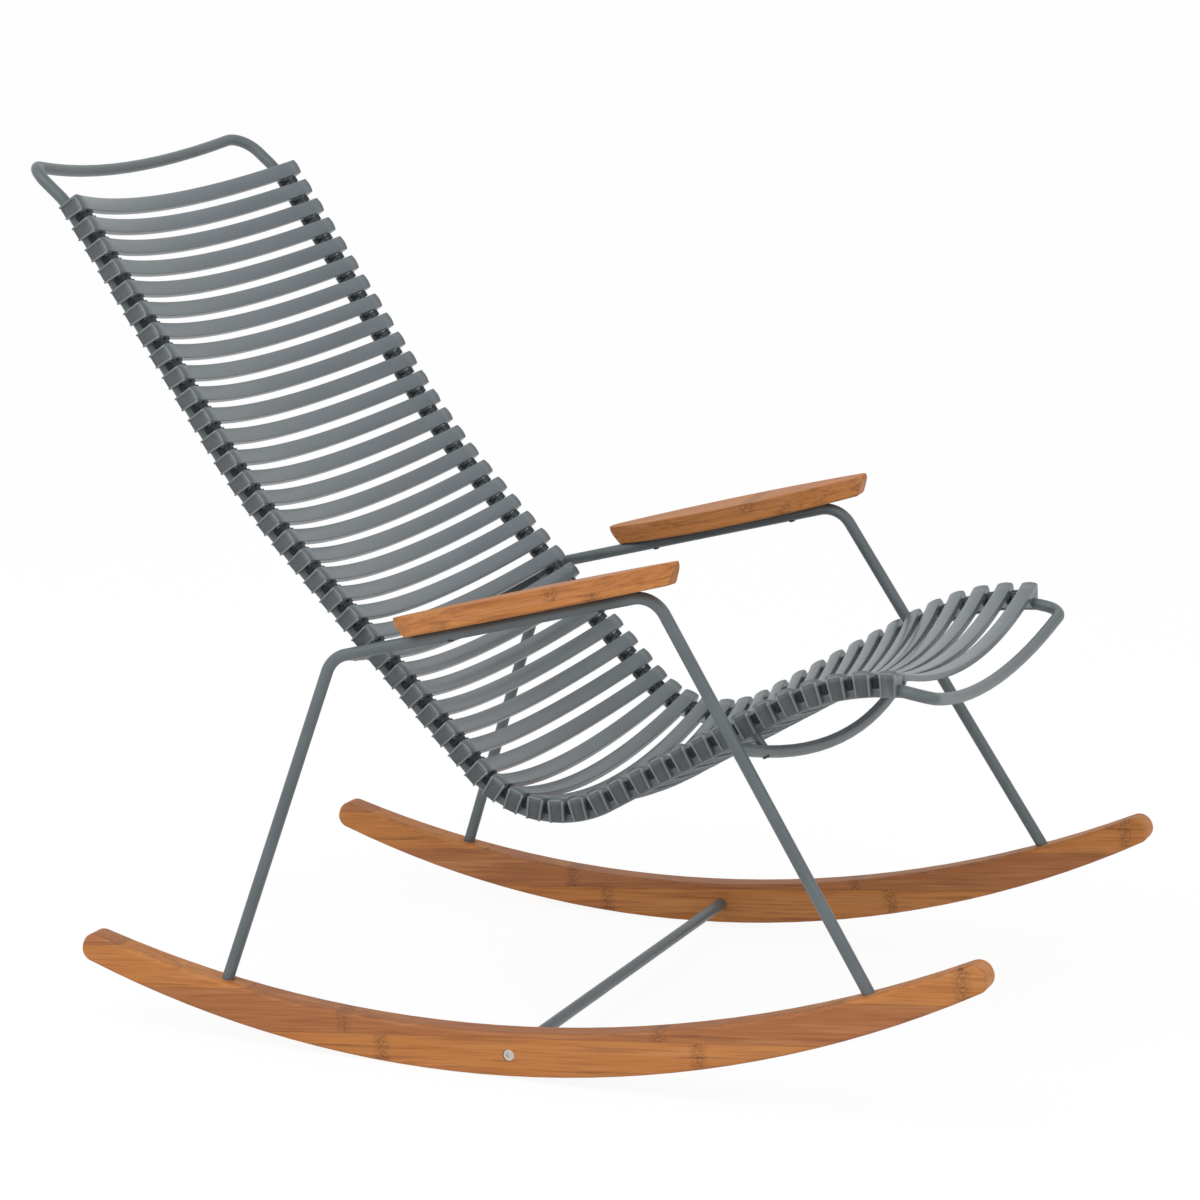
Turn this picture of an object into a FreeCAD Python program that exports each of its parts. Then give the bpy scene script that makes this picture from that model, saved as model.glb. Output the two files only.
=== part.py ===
"""Rocking lounge chair: a slatted shell on a bent-bar frame, two bamboo armrests and two bamboo rockers.

Millimetres. +X is the way the sitter faces, +Y is the sitter's left and +Z is up. The origin is the middle
of the line where the rockers touch the floor.
"""
import FreeCAD, Part
import math
import os

import Sketcher
from FreeCAD import Placement, Rotation, Vector

ACROSS = Vector(0, 1, 0)
UP = Vector(0, 0, 1)
TINY = 0.01
# How far a cutting tool passes the face that it cuts
OVERCUT = 1
# How much deeper a screw's hole is than the screw
HOLE_RELIEF = 0.5
# Degrees that a slat's crowned face turns about the centre of its arch
CROWN_TURN = 60

# Driving sizes: name, value in millimetres or degrees, meaning
SIZES = (
    ("bar_diameter", 12, "round bar of the whole frame"),
    ("weld_gap", 0.05, "between a bar's saddle end and the bar it is welded to"),
    ("rail_spacing", 444, "seat rail centre to seat rail centre"),
    ("back_top_x", -420.9, "middle of the first slat's clips"),
    ("back_top_z", 805.7, "middle of the first slat's clips"),
    ("back_upper_run", 275.5, "straight rail behind the shoulders"),
    ("back_upper_angle", 55.7, "below the horizontal, going forwards"),
    ("back_bend_radius", 737, "gentle bend behind the waist"),
    ("back_lower_run", 281.6, "straight rail behind the waist"),
    ("back_lower_angle", 45.9, "below the horizontal, going forwards"),
    ("seat_bend_radius", 116, "bend under the sitter"),
    ("seat_run", 203.7, "straight rail under the thighs"),
    ("seat_rise_angle", 30.9, "above the horizontal, going forwards"),
    ("knee_bend_radius", 219, "bend under the knees"),
    ("knee_angle", 3.85, "above the horizontal, going forwards"),
    ("knee_run", 8.2, "straight rail up to the last slat"),
    ("top_bow_start", 3, "rail past the first slat before it curls back"),
    ("top_bow_curl", 15.4, "degrees that the rail curls back"),
    ("top_bow_curl_radius", 60, "of that curl"),
    ("top_bow_reach", 16.8, "straight rail between the curl and the corner"),
    ("top_bow_corner", 28, "corner radius"),
    ("top_bow_slope", 11.4, "bar's slope where it leaves the corner"),
    ("front_bow_start", 8, "rail past the last slat before it curls down"),
    ("front_bow_curl", 13.2, "degrees that the rail curls down"),
    ("front_bow_curl_radius", 25, "of that curl"),
    ("front_bow_reach", 6.6, "straight rail between the curl and the corner"),
    ("front_bow_corner", 17.5, "corner radius"),
    ("front_bow_slope", 13.2, "bar's slope where it leaves the corner"),
    ("arm_spacing", 526, "arm bar centre to arm bar centre"),
    ("rear_bend_x", -120.6, "where the lines of the arm and the rear leg cross"),
    ("rear_bend_z", 389.4, "where the lines of the arm and the rear leg cross"),
    ("rear_bend_radius", 28, "of the arm bar into the rear leg"),
    ("front_bend_x", 213.9, "where the lines of the arm and the front leg cross"),
    ("front_bend_z", 476.8, "where the lines of the arm and the front leg cross"),
    ("front_bend_radius", 30, "of the arm bar into the front leg"),
    ("rear_foot_x", -228.4, "where the rear leg enters the rocker"),
    ("front_foot_x", 437, "where the front leg enters the rocker"),
    ("leg_insertion", 24, "length of leg inside the rocker"),
    ("socket_clearance", 0.15, "round and under a leg in its socket"),
    ("cross_bar_sag", 44, "of each cross bar at its middle, square to the shell"),
    ("front_cross_distance", 162.6, "down the front leg from the crossing of the lines"),
    ("rear_cross_distance", 18, "along the arm from the crossing of the lines"),
    ("post_diameter", 9, "short post between a cross bar and a seat rail"),
    ("rocker_spacing", 572, "rocker centre to rocker centre"),
    ("rocker_thickness", 28, "width of a rocker"),
    ("rocker_radius", 1133.3, "of the running edge"),
    ("rocker_top_radius", 1292.6, "of the upper edge"),
    ("rocker_height", 43.3, "where the rocker is tallest"),
    ("rocker_tallest_x", -14.5, "where the rocker is tallest"),
    ("rocker_rear_x", -390.1, "end of the running edge"),
    ("rocker_rear_top_x", -381, "end of the upper edge"),
    ("rocker_front_x", 557.7, "end of the running edge"),
    ("rocker_front_top_x", 545.2, "end of the upper edge"),
    ("rocker_nose_radius", 13.2, "rounded ends"),
    ("rocker_edge_radius", 4.5, "rounded long edges"),
    ("stretcher_x", 80.5, "axis of the bar between the rockers"),
    ("stretcher_z", 24.5, "axis of the bar between the rockers"),
    ("rocker_screw_diameter", 7, "shank of the screw into the stretcher"),
    ("rocker_screw_depth", 24, "of that screw in the stretcher"),
    ("rocker_screw_head", 12, "diameter of its flat head"),
    ("rocker_screw_head_height", 4, "of its flat head"),
    ("rocker_screw_sink", 0.8, "of the head below the rocker's face"),
    ("rocker_screw_socket", 5, "across flats"),
    ("screw_clearance", 0.1, "round a screw's shank or head"),
    ("armrest_start", 61, "sharp rear tip, along the arm from the crossing of the lines"),
    ("armrest_end", 399, "sharp front tip, along the arm from the crossing of the lines"),
    ("armrest_tip_offset", 12, "of the tips, outwards from the arm bar"),
    ("armrest_outer", 33, "widest, outwards from the arm bar"),
    ("armrest_inner", 33, "widest, inwards from the arm bar"),
    ("armrest_tip_radius", 10, "of both tips"),
    ("armrest_thickness", 20.5, "of the board"),
    ("armrest_undercut", 13, "that each end is shorter underneath"),
    ("armrest_roll", 3.1, "degrees that the board tips towards the sitter"),
    ("armrest_edge_radius", 1.2, "upper edge"),
    ("armrest_bottom_radius", 2.6, "lower edge"),
    ("armrest_screw_rear", 130, "along the arm from the crossing of the lines"),
    ("armrest_screw_front", 290, "along the arm from the crossing of the lines"),
    ("armrest_screw_depth", 13, "of a screw in the board"),
    ("frame_screw_diameter", 4, "shank of the armrest and rail screws"),
    ("frame_screw_head", 7, "diameter of the head"),
    ("frame_screw_head_height", 2.4, "of the head"),
    ("frame_screw_seat", 1.4, "depth of the flat that the head sits on"),
    ("slat_count", 48, "slats between the bows"),
    ("slat_overhang", 12, "of the end face past the rail's centre"),
    ("slat_width", 16, "along the rail"),
    ("slat_end_height", 22.4, "of the crowned face above the rail's axis, if it ran on to the end face"),
    ("slat_dip", 34.5, "of the middle below that"),
    ("slat_crown", 1.3, "of the upper face, higher along its middle than at its long edges"),
    ("slat_bevel_run", 3.5, "length of the bevel at the end"),
    ("slat_bevel_drop", 3, "of the bevel at the end face"),
    ("slat_skin", 3.4, "wall of the upper face"),
    ("slat_rim", 7.2, "depth of the two side lips"),
    ("slat_lip", 1.8, "wall of the side lips"),
    ("slat_edge_radius", 0.9, "rounded long edges"),
    ("slat_solid_end", 34, "from the end face to the hollow"),
    ("slat_draft", 0.8, "that each side of the end face leans in on its way down"),
    ("slat_block_length", 22, "from the end face to the clip's inner leg"),
    ("clip_clearance", 0.3, "round the rail in the clip"),
    ("clip_mouth", 11.2, "opening of the clip"),
    ("clip_inner_drop", 2, "of the inner leg below the rail's axis"),
    ("clip_outer_drop", 3.5, "of the end face below the rail's axis"),
    ("clip_recess", 2, "hollow of the end face"),
    ("clip_flange", 1.7, "wall of the two flanges that frame it"),
    ("lug_relief", 1.3, "round the rail under a lug"),
    ("lug_bottom", 3, "above the rail's axis"),
    ("lug_top", 13.4, "above the rail's axis"),
    ("lug_split", 0.4, "between two neighbouring lugs"),
    ("lug_split_offset", 2, "of that split inwards from the rail's axis"),
    ("lug_overlap", 2.2, "that a lug reaches past half way to the next slat"),
    ("step_length", 7, "of the inner step beside the lugs"),
    ("step_bottom", 7.9, "above the rail's axis"),
    ("step_top", 11.7, "above the rail's axis"),
    ("step_gap", 3.4, "between two neighbouring steps"),
)

doc = FreeCAD.newDocument("RockingLoungeChair")
sheet = doc.addObject("Spreadsheet::Sheet", "Sizes")
for row, (alias, number, meaning) in enumerate(SIZES, 1):
    sheet.set(f"A{row}", meaning)
    sheet.set(f"B{row}", str(number))
    sheet.setAlias(f"B{row}", alias)
doc.recompute()


def size(alias):
    """A driving size as a number."""
    return float(sheet.get(alias))


def radians(alias):
    """A driving angle in radians."""
    return math.radians(size(alias))


def in_plane(x, z):
    """A direction or a place in the chair's middle plane."""
    return Vector(x, 0, z)


# Helpers for sketches

def sketch_on(body, role, name):
    """A sketch on one of the body's own planes."""
    plane = next(item for item in body.Origin.OriginFeatures if item.Role == role)
    sketch = body.newObject("Sketcher::SketchObject", name)
    sketch.AttachmentSupport = (plane, "")
    sketch.MapMode = "FlatFace"
    return sketch


def outline(sketch, corners):
    """Draw a closed outline whose corners and radii stay tied to the sheet.

    A corner is (x, y), or (x, y, side, radius) where an arc leads to the next one: its centre is on the
    left of the way the outline runs for side "out", and on the right for "in". All are expressions.
    """
    first = sketch.GeometryCount
    points = []
    for corner in corners:
        points.append(Vector(sketch.evalExpression(corner[0]), sketch.evalExpression(corner[1]), 0))
    edges = []
    for index, corner in enumerate(corners):
        start = points[index]
        end = points[(index + 1) % len(points)]
        if len(corner) == 2:
            edges.append((Part.LineSegment(start, end), 1, 2))
            continue
        radius = sketch.evalExpression(corner[3])
        chord = end - start
        left = Vector(-chord.y, chord.x, 0).normalize()
        depth = math.sqrt(max(radius ** 2 - chord.Length ** 2 / 4, 0))
        side = 1 if corner[2] == "out" else -1
        centre = (start + end) / 2 + left * depth * side
        circle = Part.Circle(centre, UP, radius)
        at_start = math.atan2(start.y - centre.y, start.x - centre.x)
        at_end = math.atan2(end.y - centre.y, end.x - centre.x)
        if side > 0:
            edges.append((Part.ArcOfCircle(circle, at_start, at_end), 1, 2))
        else:
            edges.append((Part.ArcOfCircle(circle, at_end, at_start), 2, 1))
    sketch.addGeometry([edge[0] for edge in edges], False)
    rules = []
    ties = []
    for index, corner in enumerate(corners):
        here = first + index
        following = (index + 1) % len(corners)
        begin = edges[index][1]
        meets = (first + following, edges[following][1])
        rules.append(Sketcher.Constraint("Coincident", here, edges[index][2], *meets))
        for kind, text in zip(("DistanceX", "DistanceY"), corner):
            ties.append((len(rules), text))
            rules.append(Sketcher.Constraint(kind, -1, 1, here, begin, sketch.evalExpression(text)))
        if len(corner) > 2:
            ties.append((len(rules), corner[3]))
            rules.append(Sketcher.Constraint("Radius", here, sketch.evalExpression(corner[3])))
    offset = sketch.ConstraintCount
    sketch.addConstraint(rules)
    for number, text in ties:
        sketch.setExpression(f"Constraints[{offset + number}]", text)


def mirrored(corners):
    """The same outline on the other side of the sketch's vertical axis."""
    turned = []
    for corner in corners:
        rest = tuple(corner[1:2])
        if len(corner) > 2:
            rest += ("in" if corner[2] == "out" else "out", corner[3])
        turned.append((f"-({corner[0]})",) + rest)
    return turned


def extrude(body, kind, name, sketch, length, side="Symmetric"):
    """Pad or pocket a sketch: symmetric, or forwards or backwards from its plane."""
    feature = body.newObject(kind, name)
    feature.Profile = sketch
    feature.setExpression("Length", length)
    if side == "Symmetric":
        feature.SideType = "Symmetric"
    feature.Reversed = side == "Backwards"
    sketch.Visibility = False
    doc.recompute()
    return feature


def circle_on(sketch, x, y, radius):
    """Draw a circle whose place and radius stay tied to the sheet."""
    values = [sketch.evalExpression(text) for text in (x, y, radius)]
    circle = Part.Circle(Vector(values[0], values[1], 0), UP, values[2])
    number = sketch.addGeometry(circle, False)
    offset = sketch.ConstraintCount
    sketch.addConstraint([
        Sketcher.Constraint("DistanceX", -1, 1, number, 3, values[0]),
        Sketcher.Constraint("DistanceY", -1, 1, number, 3, values[1]),
        Sketcher.Constraint("Radius", number, values[2]),
    ])
    for index, text in enumerate((x, y, radius)):
        sketch.setExpression(f"Constraints[{offset + index}]", text)


def picked_edges(feature, test):
    """A feature and the names of those of its edges that a test picks."""
    return feature, [f"Edge{number}" for number, edge in enumerate(feature.Shape.Edges, 1) if test(edge)]


def round_off(body, name, base, test, radius):
    """Round the edges of a feature that a test picks."""
    fillet = body.newObject("PartDesign::Fillet", name)
    fillet.Base = picked_edges(base, test)
    fillet.setExpression("Radius", radius)
    doc.recompute()
    return fillet


def runs_across(edge):
    """Whether an edge runs straight across the chair."""
    return edge.BoundBox.XLength < TINY and edge.BoundBox.ZLength < TINY


def arc_radius(chord, bulge):
    """Expression for the radius of an arc from its chord and its bulge."""
    return f"((({chord}) ^ 2 / 4 + ({bulge}) ^ 2) / (2 * ({bulge})))"


# Helpers for bars and placed pieces

class Route:
    """A run of lines and arcs, each tangent to the last."""

    def __init__(self, start, heading):
        self.place = Vector(start)
        self.heading = Vector(heading).normalize()
        self.edges = []

    def straight(self, length):
        end = self.place + self.heading * length
        self.edges.append(Part.LineSegment(self.place, end).toShape())
        self.place = end

    def turn(self, towards, radius, angle):
        """Turn by an angle in radians, towards a direction square to the heading."""
        towards = Vector(towards).normalize()
        stops = []
        for share in (0.5, 1):
            bend = angle * share
            ahead = self.heading * (radius * math.sin(bend))
            aside = towards * (radius * (1 - math.cos(bend)))
            stops.append(self.place + ahead + aside)
        self.edges.append(Part.Arc(self.place, stops[0], stops[1]).toShape())
        self.heading = self.heading * math.cos(angle) + towards * math.sin(angle)
        self.place = stops[1]


def bent(points, radii):
    """Edges of straight runs through points, with an arc at each inner point."""
    edges = []
    start = points[0]
    for before, corner, after, radius in zip(points, points[1:], points[2:], radii):
        back = (before - corner).normalize()
        forth = (after - corner).normalize()
        half = back.getAngle(forth) / 2
        reach = radius / math.tan(half)
        inwards = (back + forth).normalize()
        middle = corner + inwards * (radius / math.sin(half) - radius)
        edges.append(Part.LineSegment(start, corner + back * reach).toShape())
        edges.append(Part.Arc(corner + back * reach, middle, corner + forth * reach).toShape())
        start = corner + forth * reach
    edges.append(Part.LineSegment(start, points[-1]).toShape())
    return edges


def bar(name, edges, radius="Sizes.bar_diameter / 2"):
    """A round bar along the edges."""
    spine = doc.addObject("Part::Feature", f"{name}_line")
    spine.Shape = Part.Wire(edges)
    first = spine.Shape.OrderedEdges[0]
    start = first.valueAt(first.FirstParameter)
    heading = first.tangentAt(first.FirstParameter)
    section = doc.addObject("Part::Circle", f"{name}_section")
    section.setExpression("Radius", radius)
    section.Placement = Placement(start, Rotation(UP, heading))
    sweep = doc.addObject("Part::Sweep", name)
    sweep.Sections = [section]
    sweep.Spine = (spine, [])
    sweep.Solid = True
    sweep.Frenet = False
    return sweep


def facing(direction):
    """The turn that brings +Z to a direction."""
    return Rotation(UP, direction)


def rod(name, radius, start, end):
    """A round rod, or the tool for a round hole, from start to end."""
    piece = doc.addObject("Part::Cylinder", name)
    piece.setExpression("Radius", radius)
    piece.Height = (end - start).Length
    piece.Placement = Placement(start, facing(end - start))
    return piece


def cut(name, base, tools):
    """The base with every tool taken away."""
    tool = tools[0]
    if len(tools) > 1:
        tool = doc.addObject("Part::MultiFuse", f"{name}_tools")
        tool.Shapes = tools
    piece = doc.addObject("Part::Cut", name)
    piece.Base = base
    piece.Tool = tool
    return piece


def other_side(name, source):
    """The piece for the sitter's left, from the one on the right."""
    piece = doc.addObject("Part::Mirroring", name)
    piece.Source = source
    piece.Normal = ACROSS
    piece.Base = Vector(0, 0, 0)
    return piece


def copy_of(name, shape, place):
    """A placed copy of a finished shape."""
    piece = doc.addObject("Part::Feature", name)
    piece.Shape = shape.copy()
    piece.Placement = place
    return piece


def group(name, pieces):
    """Several separate pieces under one name."""
    compound = doc.addObject("Part::Compound", name)
    compound.Links = pieces
    return compound


# Line of the right seat rail, from the first slat to the last

HALF_RAIL = size("rail_spacing") / 2
down = radians("back_upper_angle")
back_top = Vector(size("back_top_x"), -HALF_RAIL, size("back_top_z"))
rail = Route(back_top, in_plane(math.cos(down), -math.sin(down)))


def rail_bend(radius, angle):
    """Bend the rail in its own plane, upwards for a positive angle."""
    upwards = in_plane(-rail.heading.z, rail.heading.x)
    rail.turn(upwards * math.copysign(1, angle), size(radius), abs(angle))


rail.straight(size("back_upper_run"))
rail_bend("back_bend_radius", radians("back_upper_angle") - radians("back_lower_angle"))
rail.straight(size("back_lower_run"))
rail_bend("seat_bend_radius", radians("back_lower_angle") + radians("seat_rise_angle"))
rail.straight(size("seat_run"))
rail_bend("knee_bend_radius", radians("knee_angle") - radians("seat_rise_angle"))
rail.straight(size("knee_run"))
RAIL_EDGES = list(rail.edges)
RAIL_LENGTH = sum(edge.Length for edge in RAIL_EDGES)
SLAT_PITCH = RAIL_LENGTH / (size("slat_count") - 1)


def on_rail(distance):
    """Place and heading on the right rail, at a distance from the first slat."""
    for edge in RAIL_EDGES:
        if distance <= edge.Length or edge is RAIL_EDGES[-1]:
            parameter = edge.getParameterByLength(min(distance, edge.Length))
            return edge.valueAt(parameter), edge.tangentAt(parameter)
        distance -= edge.Length


# Seat frame: both rails, closed by the top bow and the front bow

def half_bow(start, heading, which):
    """Edges from the right rail's end to the middle of its bow."""
    route = Route(start, heading)
    rearwards = Vector(heading).cross(ACROSS)
    if rearwards.z > 0:
        rearwards = rearwards * -1
    route.straight(size(f"{which}_bow_start"))
    route.turn(rearwards, size(f"{which}_bow_curl_radius"), radians(f"{which}_bow_curl"))
    route.straight(size(f"{which}_bow_reach"))
    below = route.heading.cross(ACROSS).normalize()
    if below.z > 0:
        below = below * -1
    slope = radians(f"{which}_bow_slope")
    inwards = ACROSS * math.cos(slope) + below * math.sin(slope)
    ahead = Vector(route.heading)
    route.turn(inwards, size(f"{which}_bow_corner"), math.pi / 2)
    left_over = abs(route.place.y)
    flatten = ahead.cross(route.heading).normalize()
    if flatten.z < 0:
        flatten = flatten * -1
    route.turn(flatten, left_over / math.sin(slope), slope)
    return route.edges


top_edges = half_bow(back_top, RAIL_EDGES[0].tangentAt(0) * -1, "top")
front_edges = half_bow(rail.place, rail.heading, "front")
right_half = top_edges + RAIL_EDGES + front_edges
left_half = [edge.mirror(Vector(0, 0, 0), ACROSS) for edge in right_half]
seat_line = Part.__sortEdges__(right_half + left_half)
seat_bar = bar("seat_bar", seat_line)
seat_clear = bar("seat_bar_clearance", seat_line, "Sizes.bar_diameter / 2 + Sizes.weld_gap")


# Rockers

def upper_edge(x):
    """Height of a rocker's upper edge."""
    drop = math.sqrt(size("rocker_top_radius") ** 2 - (x - size("rocker_tallest_x")) ** 2)
    return size("rocker_height") + size("rocker_top_radius") - drop


def running_height(x):
    """Expression for the height of the running edge."""
    return f"(Sizes.rocker_radius - sqrt(Sizes.rocker_radius ^ 2 - ({x}) ^ 2))"


def upper_height(x):
    """Expression for the height of the upper edge."""
    run = f"({x} - Sizes.rocker_tallest_x)"
    drop = f"sqrt(Sizes.rocker_top_radius ^ 2 - {run} ^ 2)"
    return f"(Sizes.rocker_height + Sizes.rocker_top_radius - {drop})"


HALF_ROCKERS = size("rocker_spacing") / 2
rocker_body = doc.addObject("PartDesign::Body", "rocker_blank")
rocker_sketch = sketch_on(rocker_body, "XZ_Plane", "rocker_outline")
rear_low = ("Sizes.rocker_rear_x", running_height("Sizes.rocker_rear_x"))
front_low = ("Sizes.rocker_front_x", running_height("Sizes.rocker_front_x"))
front_high = ("Sizes.rocker_front_top_x", upper_height("Sizes.rocker_front_top_x"))
rear_high = ("Sizes.rocker_rear_top_x", upper_height("Sizes.rocker_rear_top_x"))
outline(rocker_sketch, (
    rear_low + ("out", "Sizes.rocker_radius"),
    front_low,
    front_high + ("in", "Sizes.rocker_top_radius"),
    rear_high,
))
rocker_pad = extrude(rocker_body, "PartDesign::Pad", "rocker_pad", rocker_sketch, "Sizes.rocker_thickness")
round_off(rocker_body, "rocker_noses", rocker_pad, runs_across, "Sizes.rocker_nose_radius")
half_thickness = size("rocker_thickness") / 2


def on_rocker_face(edge):
    """Whether an edge lies on one of the rocker's two flat faces."""
    return edge.BoundBox.YLength < TINY and abs(abs(edge.BoundBox.Center.y) - half_thickness) < TINY


round_off(rocker_body, "rocker_edges", rocker_body.Tip, on_rocker_face, "Sizes.rocker_edge_radius")
rocker_body.Placement = Placement(Vector(0, -HALF_ROCKERS, 0), Rotation())
doc.recompute()

# Side frame: one bar from the rear foot over the arm to the front foot

HALF_ARMS = size("arm_spacing") / 2
REAR_BEND = Vector(size("rear_bend_x"), -HALF_ARMS, size("rear_bend_z"))
FRONT_BEND = Vector(size("front_bend_x"), -HALF_ARMS, size("front_bend_z"))


def leg_end(corner, foot_x):
    """Where a leg enters the rocker, and where it ends inside it."""
    entry = Vector(foot_x, -HALF_ROCKERS, upper_edge(foot_x))
    along = (entry - corner).normalize()
    return entry, entry + along * size("leg_insertion")


rear_entry, rear_foot = leg_end(REAR_BEND, size("rear_foot_x"))
front_entry, front_foot = leg_end(FRONT_BEND, size("front_foot_x"))
side_radii = (size("rear_bend_radius"), size("front_bend_radius"))
side_line = bent([rear_foot, REAR_BEND, FRONT_BEND, front_foot], side_radii)
side_bar = bar("side_bar", side_line)
side_clear = bar("side_bar_clearance", side_line, "Sizes.bar_diameter / 2 + Sizes.weld_gap")
side_clear_left = other_side("side_bar_clearance_left", side_clear)
ARM = (FRONT_BEND - REAR_BEND).normalize()


def leg_socket(name, entry, foot):
    """Tool for the blind socket of a leg, open at the rocker's upper edge."""
    along = (foot - entry).normalize()
    mouth = entry - along * size("leg_insertion")
    bottom = foot + along * size("socket_clearance")
    return rod(name, "Sizes.bar_diameter / 2 + Sizes.socket_clearance", mouth, bottom)


# Screws: a head below the origin and a shank along +Z

def turned_screw(name, shank, head, head_height, length):
    """A screw body; length is an expression."""
    body = doc.addObject("PartDesign::Body", name)
    sketch = sketch_on(body, "XZ_Plane", f"{name}_profile")
    outline(sketch, (
        ("0", f"-{head_height}"),
        (f"{head} / 2 - {head_height} / 3", f"-{head_height}"),
        (f"{head} / 2", f"-{head_height} * 2 / 3"),
        (f"{head} / 2", "0"),
        (f"{shank} / 2", "0"),
        (f"{shank} / 2", f"{length} - {shank} / 4"),
        (f"{shank} / 4", length),
        ("0", length),
    ))
    turned = body.newObject("PartDesign::Revolution", f"{name}_turned")
    turned.Profile = sketch
    turned.ReferenceAxis = (sketch, ["V_Axis"])
    turned.Angle = 360
    doc.recompute()
    return body


def hex_socket(body, across_flats, head_height):
    """Sink a hexagonal socket into a screw's head, 60% of its height."""
    sketch = sketch_on(body, "XY_Plane", f"{body.Name}_hexagon")
    corners = []
    for step in range(6):
        turn = 60 * step + 30
        reach = f"{across_flats} / sqrt(3)"
        corners.append((f"{reach} * cos({turn} deg)", f"{reach} * sin({turn} deg)"))
    outline(sketch, corners)
    sketch.AttachmentOffset = Placement(Vector(0, 0, 0), Rotation())
    sketch.setExpression("AttachmentOffset.Base.z", f"-{head_height}")
    depth = f"{head_height} * 0.6"
    extrude(body, "PartDesign::Pocket", f"{body.Name}_socket", sketch, depth, "Backwards")


in_rocker = "Sizes.rocker_thickness - Sizes.rocker_screw_sink - Sizes.rocker_screw_head_height"
rocker_screw = turned_screw(
    "rocker_screw",
    "Sizes.rocker_screw_diameter",
    "Sizes.rocker_screw_head",
    "Sizes.rocker_screw_head_height",
    f"({in_rocker} + Sizes.rocker_screw_depth)",
)
hex_socket(rocker_screw, "Sizes.rocker_screw_socket", "Sizes.rocker_screw_head_height")

# Stretcher between the rockers, and its two screws

OUTER_FACE = HALF_ROCKERS + size("rocker_thickness") / 2
INNER_FACE = HALF_ROCKERS - size("rocker_thickness") / 2


def on_stretcher(y):
    """A place on the stretcher's axis."""
    return Vector(size("stretcher_x"), y, size("stretcher_z"))


head_seat = OUTER_FACE - size("rocker_screw_sink") - size("rocker_screw_head_height")
stretcher_ends = (on_stretcher(-INNER_FACE), on_stretcher(INNER_FACE))
stretcher_bar = rod("stretcher_bar", "Sizes.bar_diameter / 2", *stretcher_ends)
screw_bottom = size("rocker_screw_depth") + HOLE_RELIEF
shank_hole = "Sizes.rocker_screw_diameter / 2 + Sizes.screw_clearance"
tapped = []
for side in (-1, 1):
    inner = on_stretcher(side * (INNER_FACE - screw_bottom))
    tapped.append(rod(f"stretcher_hole_{len(tapped)}", shank_hole, inner, on_stretcher(side * OUTER_FACE)))
stretcher = cut("rocker_stretcher", stretcher_bar, tapped)

screw_hole = rod("rocker_screw_hole", shank_hole, on_stretcher(-OUTER_FACE), on_stretcher(-INNER_FACE))
screw_bore = rod(
    "rocker_screw_counterbore",
    "Sizes.rocker_screw_head / 2 + Sizes.screw_clearance",
    on_stretcher(-OUTER_FACE - OVERCUT),
    on_stretcher(-head_seat),
)
rocker_right = cut("rocker_right", rocker_body, [
    leg_socket("rear_leg_socket", rear_entry, rear_foot),
    leg_socket("front_leg_socket", front_entry, front_foot),
    screw_hole,
    screw_bore,
])
rocker_left = other_side("rocker_left", rocker_right)

right_place = Placement(on_stretcher(-head_seat), facing(ACROSS))
left_place = Placement(on_stretcher(head_seat), facing(ACROSS * -1))
rocker_screws = group("rocker_screws", [
    copy_of("rocker_screw_right", rocker_screw.Shape, right_place),
    copy_of("rocker_screw_left", rocker_screw.Shape, left_place),
])

# Cross bars under the shell, each with two posts up to the seat rails

BAR_RADIUS = size("bar_diameter") / 2
HEAD_SEAT = BAR_RADIUS - size("frame_screw_seat")
SHANK_HOLE = "Sizes.frame_screw_diameter / 2 + Sizes.screw_clearance"
HEAD_FLAT = "Sizes.frame_screw_head / 2 + Sizes.screw_clearance"
seat_rail_wire = Part.Wire(RAIL_EDGES)


def screw_tools(name, seat, up, tip):
    """Tools for a screw's hole up to its tip, and for the flat that its head sits on."""
    hole = rod(f"{name}_hole", SHANK_HOLE, seat, tip + up * HOLE_RELIEF)
    flat = rod(f"{name}_flat", HEAD_FLAT, seat - up * (BAR_RADIUS + OVERCUT), seat)
    return [hole, flat]


def cross_bar(name, end, square):
    """A sagging bar from a place on the right side frame to its mirror image, with posts and screw holes.

    square is the direction that is square to the shell, away from the sitter.
    """
    middle = in_plane(end.x, end.z) + square * size("cross_bar_sag")
    far_end = Vector(end.x, -end.y, end.z)
    arc = Part.Arc(end, middle, far_end)
    run = bar(f"{name}_bar", [arc.toShape()])
    start = arc.intersect(Part.Plane(Vector(0, -HALF_RAIL, 0), ACROSS))[0][0]
    foot = Vector(start.X, start.Y, start.Z)
    top = seat_rail_wire.distToShape(Part.Vertex(foot))[1][0][0]
    solid_parts = [run]
    screws = []
    holes = []
    for side, sign in (("right", 1), ("left", -1)):
        low = Vector(foot.x, foot.y * sign, foot.z)
        high = Vector(top.x, top.y * sign, top.z)
        up = (high - low).normalize()
        post = rod(f"{name}_post_{side}", "Sizes.post_diameter / 2", low, high)
        solid_parts.append(post)
        seat = low - up * HEAD_SEAT
        holes += screw_tools(f"{name}_screw_{side}", seat, up, high)
        screws.append((seat, up, (high - seat).Length))
    welded = doc.addObject("Part::MultiFuse", f"{name}_welded")
    welded.Shapes = solid_parts
    piece = cut(name, welded, [side_clear, side_clear_left, seat_clear] + holes)
    return piece, screws, holes


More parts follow.
